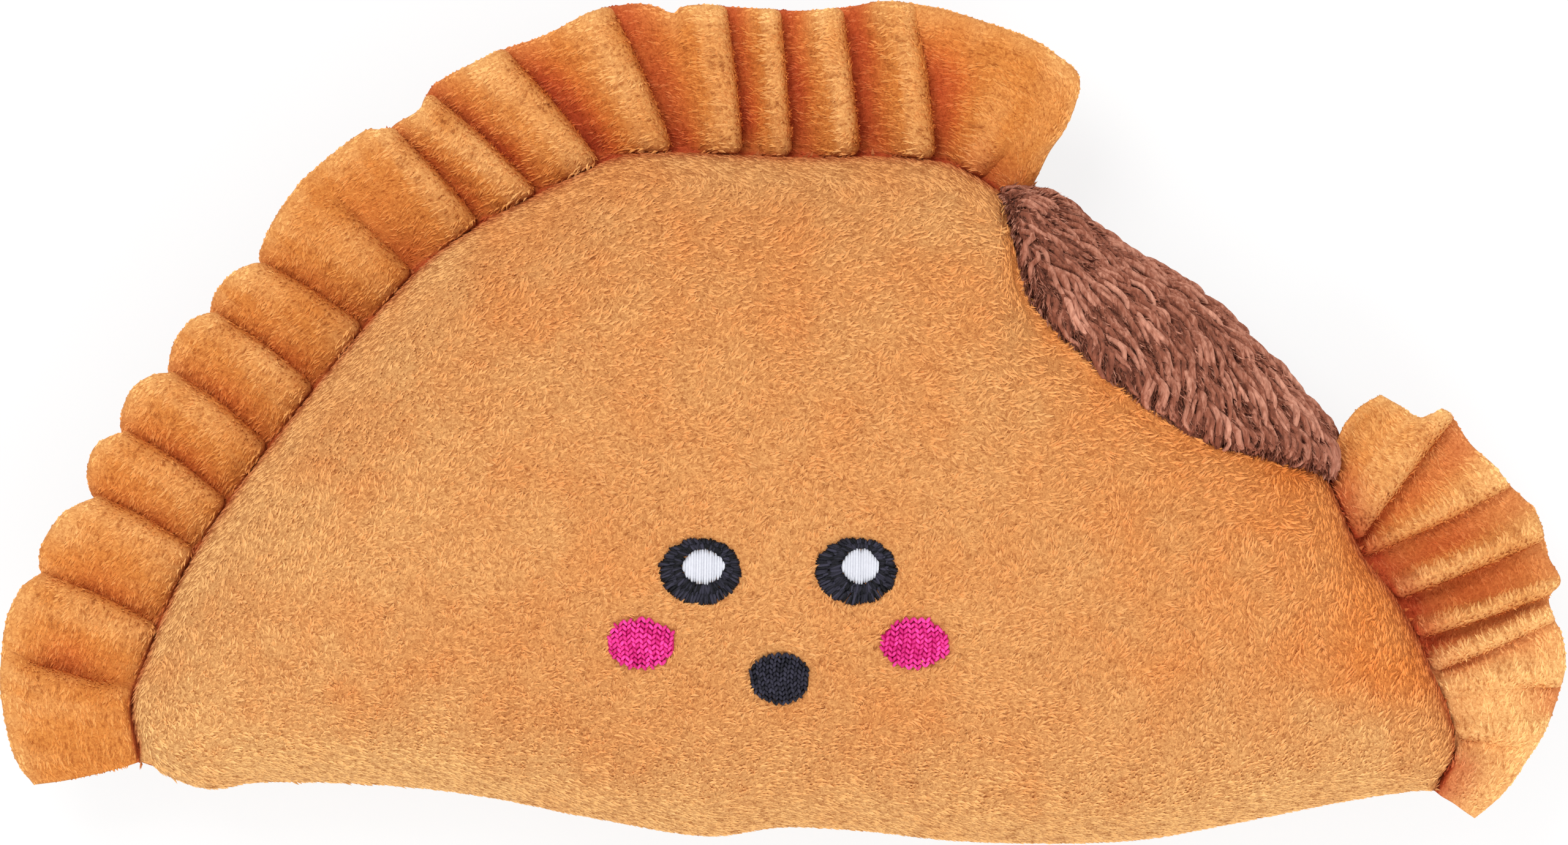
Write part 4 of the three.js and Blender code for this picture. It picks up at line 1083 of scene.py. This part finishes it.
def lock(spine, radius, tone, sides=5, lighter=0.0):
    """A closed tapered tube along a spine, with its layout and its tones, which grow lighter along it."""
    count = len(spine)
    way = unit(np.gradient(spine, axis=0))
    side = unit(np.cross(way, [0.3, 0.2, 1.0]))
    up = np.cross(side, way)
    turn = 2 * np.pi * np.arange(sides) / sides
    ring = side[:, None] * np.cos(turn)[None, :, None] + up[:, None] * np.sin(turn)[None, :, None]
    rings = spine[:, None] + ring * radius[:, None, None]
    points = np.concatenate([rings.reshape(-1, 3), spine[:1], spine[-1:]])
    here = np.arange(count * sides).reshape(count, sides)
    after = np.roll(here, -1, axis=1)
    walls = np.stack([here[:-1], after[:-1], after[1:], here[1:]], -1).reshape(-1, 4)
    low, high = count * sides, count * sides + 1
    caps = np.concatenate([np.stack([after[0], here[0], np.full(sides, low)], -1),
                           np.stack([here[-1], after[-1], np.full(sides, high)], -1)])
    along = np.concatenate([np.repeat(np.linspace(0, 1, count), sides), [0, 1]])
    layout = np.column_stack([along, np.arange(len(along)) % sides / (sides - 1)]) * 0.8 + 0.1
    return points, facing_out(points, [walls, caps]), layout, np.clip(tone + lighter * (along - 0.4), 0, 1)


def fleece_lay(along, roots, rng, wander, loose):
    """The way that the fleece lies at places along the bite, as an angle."""
    return (np.radians(mix(*FLEECE_LAY, along**0.7)) + wander * cloud(roots, 6, 53)
            + rng.normal(0, loose, len(roots)))


def curls(fill, outer, normals, share, rng):
    """The locks of the fleece, which lie on it and on one another and end before the panel's edge."""
    quads = quads_of(*outer.shape[:2])
    skin = BVHTree.FromPolygons([Vector(p) for p in outer.reshape(-1, 3)], quads.tolist())
    middle = tuple(n // 2 for n in FLEECE_GRID)
    facing = np.sign(skin.find_nearest(Vector(outer[middle]))[1] @ Vector(normals[middle]))
    keep = np.ones(outer.shape[:2])
    keep[:, :2] = keep[:, -3:] = 0
    roots, up, read = scatter(outer, normals, fill.locks / FLEECE_AREA, rng, keep)
    n = len(roots)
    along = read(np.repeat(share[:, None], outer.shape[1], axis=1))
    turn = fleece_lay(along, roots, rng, 0.25, 0.07)
    lay = along_surface(stacked(np.cos(turn), np.sin(turn), -0.25), up)
    side = np.cross(up, lay)
    home = LINES["bite"].at(along)
    out = unit(LINES["gusset"].at(along) - home)
    room = (((roots[:, :2] - home) * out).sum(1) + 0.3) / np.maximum(-(lay[:, :2] * out).sum(1), 0.35)
    length = fill.lock / MM * rng.uniform(0.7, 1.25, n)
    size = fill.lock_width / MM / 2 * rng.uniform(0.75, 1.3, n)
    phase = 7 * cloud(roots, 6, 55) + rng.uniform(0, 0.9, n)
    sway, level = rng.uniform(0.4, 0.95, n), rng.uniform(0, 1, n)
    # Painted light and shade: curls that stand higher are lighter, lower ones darker.
    tones = 0.7 * level + 0.14 * streaks(roots, lay, 1.1, 56, 0.9)
    behind = np.clip(1 - room / length, 0.35, 1)
    t, made = np.linspace(0, 1, 11), []
    for k in range(n):
        bend = sway[k] * np.sin(phase[k] + t * 5.2) * ease(t * 2)
        lift = 0.35 * size[k] + (0.1 + 1.3 * level[k]) * np.sin(np.pi * t) - 0.3
        lift = lift - size[k] * ease((t - 0.7) / 0.3)
        spine = roots[k] + lay[k] * ((t - behind[k]) * length[k])[:, None] + side[k] * bend[:, None]
        found = [skin.find_nearest(Vector(p)) for p in spine]
        spine = np.array([f[0] for f in found]) + np.array([f[1] for f in found]) * (facing * lift)[:, None]
        spine[:, 2] = np.maximum(spine[:, 2], FLEECE_FLOOR)
        taper = size[k] * (0.25 + 0.75 * np.sin(np.pi * np.clip(t * 0.86 + 0.1, 0, 1)) ** 0.7)
        made.append(lock(spine, taper, tones[k], lighter=0.1))
    mesh = Mesh()
    mesh.add_all(made)
    return mesh


def hair(outer, normals, share, rng):
    """Finer hairs over the curls."""
    roots, up, read = scatter(outer + normals * 0.6, normals, 8.0, rng)
    turn = fleece_lay(read(np.repeat(share[:, None], outer.shape[1], axis=1)), roots, rng, 0.3, 0.45)
    n = len(roots)
    mesh = Mesh()
    length, width = rng.uniform(0.9, 2.2, n), rng.uniform(0.12, 0.26, n)
    lift, tone = np.radians(rng.uniform(4, 24, n)), np.clip(rng.normal(0.42, 0.3, n), 0, 1)
    fibres(mesh, roots, up, stacked(np.cos(turn), np.sin(turn), 0.0), length, width, lift, tone)
    return mesh


class TOY_OT_filling(bpy.types.Operator):
    """Makes the curly fleece that closes the bite"""

    bl_idname = "toy.filling"
    bl_label = "Fleece filling"

    def execute(self, context):
        fill = context.scene.toy_filling
        finish = Finish("filling_fleece", Roughness=0.9, Sheen_Weight=0.3, Sheen_Roughness=0.5,
                        Sheen_Tint=(*fill.light[:3], 1), Specular_IOR_Level=0.1)
        tone = finish.mark("tone") + (finish.noise(0.7, 3.0, (1, 0.3, 1), distortion=0.8) - 0.5) * 1.1
        # Painted shade: low tones take the gaps' dark colour; high tones take a painted highlight.
        wool = finish.blend((tone * 2).clamped(), fill.dark, fill.colour)
        wool = finish.blend((tone * 2 - 1).clamped(), wool, fill.light)
        height = finish.noise(0.5, 3.0, (1, 0.3, 1), distortion=0.6)
        fleece = finish.feed(Base_Color=wool, Normal=finish.bump(height, 0.35, 0.8))
        outer, inner, normals, share = gusset_grids(*FLEECE_GRID)
        base, rng = Mesh(), np.random.default_rng(52)
        # The fleece under the curls takes the dark gap colour: painted shade beneath them.
        base.sheet(outer, inner, tone=np.full(outer.shape[:-1], 0.05))
        sew(base.make("filling_fleece", fleece), "bite_filling", slot="filling_fleece", padded=0.7)
        locks = curls(fill, outer, normals, share, rng)
        sew(locks.make("filling_curls", fleece), slot="filling_fleece")
        hairs = hair(outer, normals, share, rng)
        sew(hairs.make("filling_hair", fleece, smooth=False), slot="filling_fleece")
        return {"FINISHED"}


# Embroidery

class Stitcher:
    """Lays threads on the front panel's backing."""

    def __init__(self, settings):
        self.pitch = settings.pitch / MM
        self.radius = settings.radius / MM
        self.height = settings.height / MM
        piece = bpy.data.objects["front_plush"]
        self.tree = BVHTree.FromPolygons([v.co / MM for v in piece.data.vertices],
                                         [p.vertices[:] for p in piece.data.polygons])
        self.rng = np.random.default_rng(61)

    def level(self, flat):
        hits = [self.tree.ray_cast(Vector((x, y, 90)), -Vector(UP))[0] for x, y in flat]
        return np.array([h[2] for h in hits])

    def thread(self, start, end, rise=1.0, tone=None):
        """One stitch between two points, arched over the cloth, with its ends sunk in."""
        radius = self.radius * self.rng.uniform(0.85, 1.12)
        tone = self.rng.uniform(0, 1) ** 2 if tone is None else tone
        t = np.linspace(0, 1, 7)
        flat = start + (end - start) * t[:, None]
        arch = self.height * rise * np.sin(np.pi * np.clip(t, 0.02, 0.98)) ** 0.45
        spine = np.column_stack([flat, self.level(flat) + arch - radius * 0.4])
        size = radius * np.array([0.55, 0.9, 1, 1, 1, 0.9, 0.55])
        return lock(spine, size, tone, sides=6)

    def sew_all(self, name, stitches, node, slot, material):
        mesh = Mesh()
        mesh.add_all(stitches)
        sew(mesh.make(name, material), node, slot=slot)

    def inside(self, size, grow=0.0):
        """Half the height of an oval at each place across it."""
        return lambda x: size[1] / 2 * np.sqrt(np.clip(1 - (x / (size[0] / 2 + grow)) ** 2, 0, 1))

    def ring(self, centre, size, hole_centre, hole_size):
        """Satin stitches from an oval hole to an oval rim, with an underlay of longer ones."""
        count = int(math.pi * (size[0] + size[1]) / 2 / (self.pitch * 0.95))
        seed = int(self.rng.integers(1000))
        made = []
        for low, high, rise in ((0.0, 1.0, 0.7), (0.0, 0.6, 0.95), (0.42, 1.0, 1.0)):
            for k in range(count):
                turn = 2 * math.pi * (k + self.rng.uniform(-0.3, 0.3)) / count
                spoke = np.array([math.cos(turn), math.sin(turn)])
                tooth = 0.3 * float(cloud([[turn * 5, high * 9, 0]], 0.55, seed)[0])
                ragged = tooth + self.rng.uniform(-0.12, 0.08) - 0.12 if high == 1 else 0
                rim = centre + spoke * (np.array(size) / 2 + ragged)
                start = hole_centre + spoke * (np.array(hole_size) / 2 - 0.2 + self.rng.uniform(-0.12, 0.12))
                lean = left_of(spoke) * self.rng.normal(0, 0.22)
                a = low + self.rng.uniform(0, 0.12)
                b = high - (self.rng.uniform(0, 0.16) if high < 1 else 0)
                made.append(self.thread(mix(start, rim, a) - lean, mix(start, rim, b) + lean * (high < 1),
                                        rise))
        return made

    def columns(self, centre, size, stitch, slant, pitch, ragged=0.35):
        """Columns of short stitches that lean one way and then the other, over a flat underlay."""
        half = self.inside(size, 0.1)
        made = []
        for x in np.arange(-size[0] / 2 + 0.3, size[0] / 2 - 0.1, self.pitch * 0.9):
            reach = half(x) * 0.93
            # The underlay gets no painted highlight, so it shows darker between the stitches.
            made.append(self.thread(centre + [x, -reach], centre + [x, reach], 0.45, tone=0.0))
        bend = self.rng.uniform(0, 6.28)
        for k, x in enumerate(np.arange(-size[0] / 2 + pitch * 0.4, size[0] / 2, pitch)):
            top = half(x) + self.rng.uniform(-ragged, ragged)
            bottom = -half(x) + self.rng.uniform(-ragged, ragged)
            lean = slant * (1 if k % 2 else -1)
            count = max(round((top - bottom) / stitch), 1)
            for y in np.linspace(bottom, top, count, endpoint=False):
                sway = 0.22 * math.sin(bend + 0.9 * (y + 0.4 * x))
                middle = centre + [x + sway + self.rng.normal(0, 0.03), y + (top - bottom) / count / 2]
                step = np.array([lean, stitch * 0.5])
                made.append(self.thread(middle - step, middle + step, self.rng.uniform(0.9, 1.3),
                                        tone=self.rng.uniform(0.2, 1.0)))
        return made

    def satin(self, centre, size, ragged=0.32):
        """Long threads side by side."""
        half = self.inside(size)
        made = []
        for layer in (0.62, 1.0):
            for x in np.arange(-size[0] / 2 + self.pitch * layer / 2, size[0] / 2, self.pitch * 0.9):
                reach = half(x) * (0.9 if layer < 1 else 1)
                ends = self.rng.uniform(-ragged, ragged, 2)
                start, end = centre + [x, -reach + ends[0]], centre + [x + 0.1, reach + ends[1]]
                made.append(self.thread(start, end, layer, tone=self.rng.uniform(0.2, 0.5)))
        return made


class TOY_OT_face(bpy.types.Operator):
    """Makes the embroidered eyes, cheeks and mouth, stitch by stitch"""

    bl_idname = "toy.face"
    bl_label = "Embroidered face"

    def execute(self, context):
        settings = context.scene.toy_stitches
        black = thread("black_thread", settings.black, settings.black_light, 0.7)
        white = thread("white_thread", settings.white, settings.white_light, 0.5)
        pink = thread("pink_thread", settings.pink, settings.pink_light, 0.5)
        hand = Stitcher(settings)
        for side, (centre, light) in EYES.items():
            size = HIGHLIGHT_SIZE[side]
            hand.sew_all(f"{side}_eye_thread", hand.ring(place(centre), EYE_SIZE, place(light), size),
                         f"{side}_eye_ring", "black_thread", black)
            hand.sew_all(f"{side}_highlight_thread", hand.satin(place(light), size),
                         f"{side}_eye_highlight", "white_thread", white)
        for side, centre in CHEEKS.items():
            stitches = hand.columns(place(centre), CHEEK_SIZE, stitch=0.74, slant=0.27, pitch=0.6)
            hand.sew_all(f"{side}_cheek_thread", stitches, f"{side}_cheek", "pink_thread", pink)
        stitches = hand.columns(place(MOUTH), MOUTH_SIZE, stitch=0.7, slant=0.18, pitch=0.5, ragged=0.1)
        hand.sew_all("mouth_thread", stitches, "mouth", "black_thread", black)
        return {"FINISHED"}


# Inside

class TOY_OT_stuffing(bpy.types.Operator):
    """Makes the wads of stuffing from the room that they fill"""

    bl_idname = "toy.stuffing"
    bl_label = "Stuffing"

    def execute(self, context):
        inside = context.scene.toy_inside
        finish = Finish("wadding", Roughness=0.95, Sheen_Weight=0.3, Specular_IOR_Level=0.1)
        tone = finish.noise(3.0, 4.0, (1, 1, 0.4), distortion=1.2)
        wad = finish.feed(Base_Color=finish.blend(tone, shade(inside.wadding, 0.8), inside.wadding),
                          Normal=finish.bump(finish.noise(1.2, 4.0, distortion=1.5), 0.8, 0.8))
        for node in ("stuffing_front", "stuffing_back", "stuffing_bite"):
            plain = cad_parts[node]
            piece = bpy.data.objects.new(node + "_wad", plain.data.copy())
            bpy.context.scene.collection.objects.link(piece)
            remesh = piece.modifiers.new("even", "REMESH")
            remesh.mode, remesh.voxel_size = "VOXEL", WAD_STEP * MM
            even = bpy.data.meshes.new_from_object(piece.evaluated_get(bpy.context.evaluated_depsgraph_get()))
            piece.modifiers.clear()
            piece.data = even
            count = len(even.vertices)
            points, normals = np.zeros(count * 3, np.float32), np.zeros(count * 3, np.float32)
            even.vertices.foreach_get("co", points)
            even.vertices.foreach_get("normal", normals)
            points, normals = points.reshape(-1, 3) / MM, normals.reshape(-1, 3)
            sink = 0.35 + 0.3 * (cloud(points, inside.lump / MM, 71) + 1) / 2
            sink = sink + 0.12 * (cloud(points, 2.0, 72) + 1)
            points = (points - normals * sink[:, None]) * MM
            even.vertices.foreach_set("co", points.astype(np.float32).ravel())
            even.materials.clear()
            even.materials.append(wad)
            even.polygons.foreach_set("use_smooth", np.ones(len(even.polygons), bool))
            even.update()
            sew(piece, node, slot="wadding", padded=0.8)
        return {"FINISHED"}


def bellows_profiles():
    """Outer and inner profile of the bellows, as radii and heights, from the hole to the lid's middle."""
    radius, height, wall, shoulder, dent, folds, hole = 20.0, 20.0, 0.8, 2.5, 1.8, 3, 8.3
    t = np.linspace(0, 1, 64)
    wave = radius - dent / 2 + dent / 2 * np.cos(2 * np.pi * folds * t)
    skin = np.column_stack([wave, mix(shoulder, height - shoulder, t)])
    bend = np.linspace(0, np.pi / 2, 9)[1:]
    round_off = np.column_stack([radius - shoulder + shoulder * np.cos(bend),
                                 shoulder * np.sin(bend) - shoulder])
    lid = np.column_stack([np.linspace(radius - shoulder, 0.0, 12)[1:], np.full(11, height)])
    lid[:, 1] -= 0.35 * np.exp(-((lid[:, 0] - 11) / 1.2) ** 2)
    outside = np.vstack([[[hole, 0]], (round_off * [1, -1])[::-1], skin, round_off + [0, height], lid])
    lining = np.column_stack([np.maximum(outside[:, 0] - wall, 0),
                              np.clip(outside[:, 1], wall, height - wall)])
    lining[0] = [hole, wall]
    return outside, lining


class TOY_OT_squeaker(bpy.types.Operator):
    """Makes the bellows of the squeaker and finishes its whistle"""

    bl_idname = "toy.squeaker"
    bl_label = "Squeaker"

    def execute(self, context):
        inside = context.scene.toy_inside
        finish = Finish("bellows_plastic", Roughness=0.45, Specular_IOR_Level=0.5)
        cloudy = finish.noise(5.0, 3.0)
        soft = finish.feed(Base_Color=finish.blend(cloudy, shade(inside.bellows, 0.85), inside.bellows),
                           Roughness=(0.38 + cloudy * 0.2).clamped(),
                           Normal=finish.bump(finish.noise(0.6, 2.0), 0.03, 0.5))
        finish = Finish("whistle_plastic", Roughness=0.35, Specular_IOR_Level=0.5)
        speck = finish.noise(1.5, 4.0)
        hard = finish.feed(Base_Color=finish.blend(speck, shade(inside.whistle, 0.9), inside.whistle),
                           Roughness=(0.28 + speck * 0.18).clamped(),
                           Normal=finish.bump(finish.noise(0.35, 2.0), 0.015, 0.5))
        for node in ("whistle_seat", "whistle_reed", "whistle_cap"):
            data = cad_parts[node].data
            data.materials.clear()
            data.materials.append(hard)
        low, high = (np.array(c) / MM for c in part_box("squeaker_bellows"))
        middle = (low + high) / 2
        turn = 2 * np.pi * np.arange(TURN_STEPS + 1)[:, None] / TURN_STEPS
        mesh = Mesh()
        mesh.sheet(*(np.stack([middle[0] + np.cos(turn) * p[:, 0], middle[1] + np.sin(turn) * p[:, 0],
                               low[2] + 0 * turn + p[:, 1]], -1) for p in bellows_profiles()))
        piece = mesh.make("bellows", soft)
        seal(piece)
        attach(piece, "bellows")
        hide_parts("squeaker_bellows")
        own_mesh(piece)
        return {"FINISHED"}


def seal(piece):
    """Joins the first and last column of a turned sheet and clears the faces between them."""
    work = bmesh.new()
    work.from_mesh(piece.data)
    bmesh.ops.remove_doubles(work, verts=work.verts, dist=0.01 * MM)
    seen, spare = {}, []
    for face in work.faces:
        key = frozenset(v.index for v in face.verts)
        if key in seen:
            spare += [face, seen[key]]
        seen[key] = face
    bmesh.ops.delete(work, geom=list(set(spare)), context="FACES")
    bmesh.ops.recalc_face_normals(work, faces=work.faces)
    work.to_mesh(piece.data)
    work.free()


# Stage

class TOY_OT_stage(bpy.types.Operator):
    """Makes the floor, the soft light and the camera over the toy"""

    bl_idname = "toy.stage"
    bl_label = "Stage"

    def execute(self, context):
        stage = context.scene.toy_stage
        scene = context.scene
        scene.view_settings.view_transform = "Standard"
        finish = Finish("floor", Roughness=0.9, Specular_IOR_Level=0.1)
        dust = finish.noise(60.0, 2.0)
        finish.feed(Base_Color=finish.blend(dust, stage.floor, shade(stage.floor, 0.99)))
        white = finish.node("Emission", Color=(1, 1, 1, 1), Strength=1.0)
        plain = Socket(finish.tree, finish.shader.outputs[0])
        shown = finish.node("MixShader", s0=finish.seen() * 0.8, s1=plain, s2=white)
        output = next(n for n in finish.tree.nodes if n.type == "OUTPUT_MATERIAL")
        finish.tree.links.new(shown.socket, output.inputs["Surface"])
        ground, count = Mesh(), 9
        shares = np.stack(np.meshgrid(*[np.linspace(0, 1, count)] * 2, indexing="ij"), -1)
        flat = (shares - 0.5) * FLOOR_SIZE
        ground.add(with_height(flat, -FLOOR_DROP), [quads_of(count, count)], shares)
        ground.make("floor", finish.material)
        for name, power, spot in (("key", stage.key, (-0.45, 0.65, 1.4)),
                                  ("side", stage.side, (0.5, -1.0, 1.0))):
            lamp = bpy.data.lights.new(name, "AREA")
            lamp.shape, lamp.size, lamp.energy = "DISK", LAMP_SIZE, power
            holder = bpy.data.objects.new(name, lamp)
            holder.location = spot
            holder.rotation_euler = Vector(spot).to_track_quat("Z", "Y").to_euler()
            scene.collection.objects.link(holder)
        self.sky(scene, stage)
        camera = bpy.data.cameras.new("camera")
        camera.sensor_width = 36.0
        camera.lens = camera.sensor_width * stage.distance / (VIEW_WIDTH * MM)
        camera.clip_end = 50.0
        holder = bpy.data.objects.new("camera", camera)
        holder.location = (0, 0, SEAM_AT[2] * MM + stage.distance)
        scene.collection.objects.link(holder)
        scene.camera = holder
        return {"FINISHED"}

    def sky(self, scene, stage):
        """Even light from all round, and plain white where the camera looks past the floor."""
        scene.world = scene.world or bpy.data.worlds.new("sky")
        scene.world.use_nodes = True
        sky = Nodes(scene.world.node_tree)
        sky.tree.nodes.clear()
        glow = sky.node("Background", Color=(1, 1, 1, 1), Strength=stage.sky)
        white = sky.node("Background", Color=(1, 1, 1, 1), Strength=1.0)
        both = sky.node("MixShader", s0=sky.seen(), s1=glow, s2=white)
        output = sky.tree.nodes.new("ShaderNodeOutputWorld")
        sky.tree.links.new(both.socket, output.inputs["Surface"])


class TOY_PT_panel(bpy.types.Panel):
    """Lists the toy's pieces and what may be changed"""

    bl_idname = "TOY_PT_panel"
    bl_label = "Plush pastry toy"
    bl_space_type = "VIEW_3D"
    bl_region_type = "UI"
    bl_category = "Toy"

    def draw(self, context):
        for operator, settings in STEPS:
            box = self.layout.box()
            box.operator(operator.bl_idname)
            for name in getattr(context.scene, settings).__annotations__:
                box.prop(getattr(context.scene, settings), name)


GROUPS = {
    "toy_dough": DoughSettings, "toy_crust": CrustSettings, "toy_filling": FillingSettings,
    "toy_stitches": StitchSettings, "toy_inside": InsideSettings, "toy_stage": StageSettings,
}
STEPS = [
    (TOY_OT_panels, "toy_dough"), (TOY_OT_crust, "toy_crust"), (TOY_OT_filling, "toy_filling"),
    (TOY_OT_face, "toy_stitches"), (TOY_OT_stuffing, "toy_inside"), (TOY_OT_squeaker, "toy_inside"),
    (TOY_OT_stage, "toy_stage"),
]


def register():
    for name, group in GROUPS.items():
        bpy.utils.register_class(group)
        setattr(bpy.types.Scene, name, bpy.props.PointerProperty(type=group))
    for operator, _ in STEPS:
        bpy.utils.register_class(operator)
    bpy.utils.register_class(TOY_PT_panel)


def unregister():
    bpy.utils.unregister_class(TOY_PT_panel)
    for operator, _ in reversed(STEPS):
        bpy.utils.unregister_class(operator)
    for name, group in GROUPS.items():
        delattr(bpy.types.Scene, name)
        bpy.utils.unregister_class(group)


def main():
    register()
    for operator, _ in STEPS:
        family, name = operator.bl_idname.split(".")
        getattr(getattr(bpy.ops, family), name)()


if __name__ == "__main__":
    main()
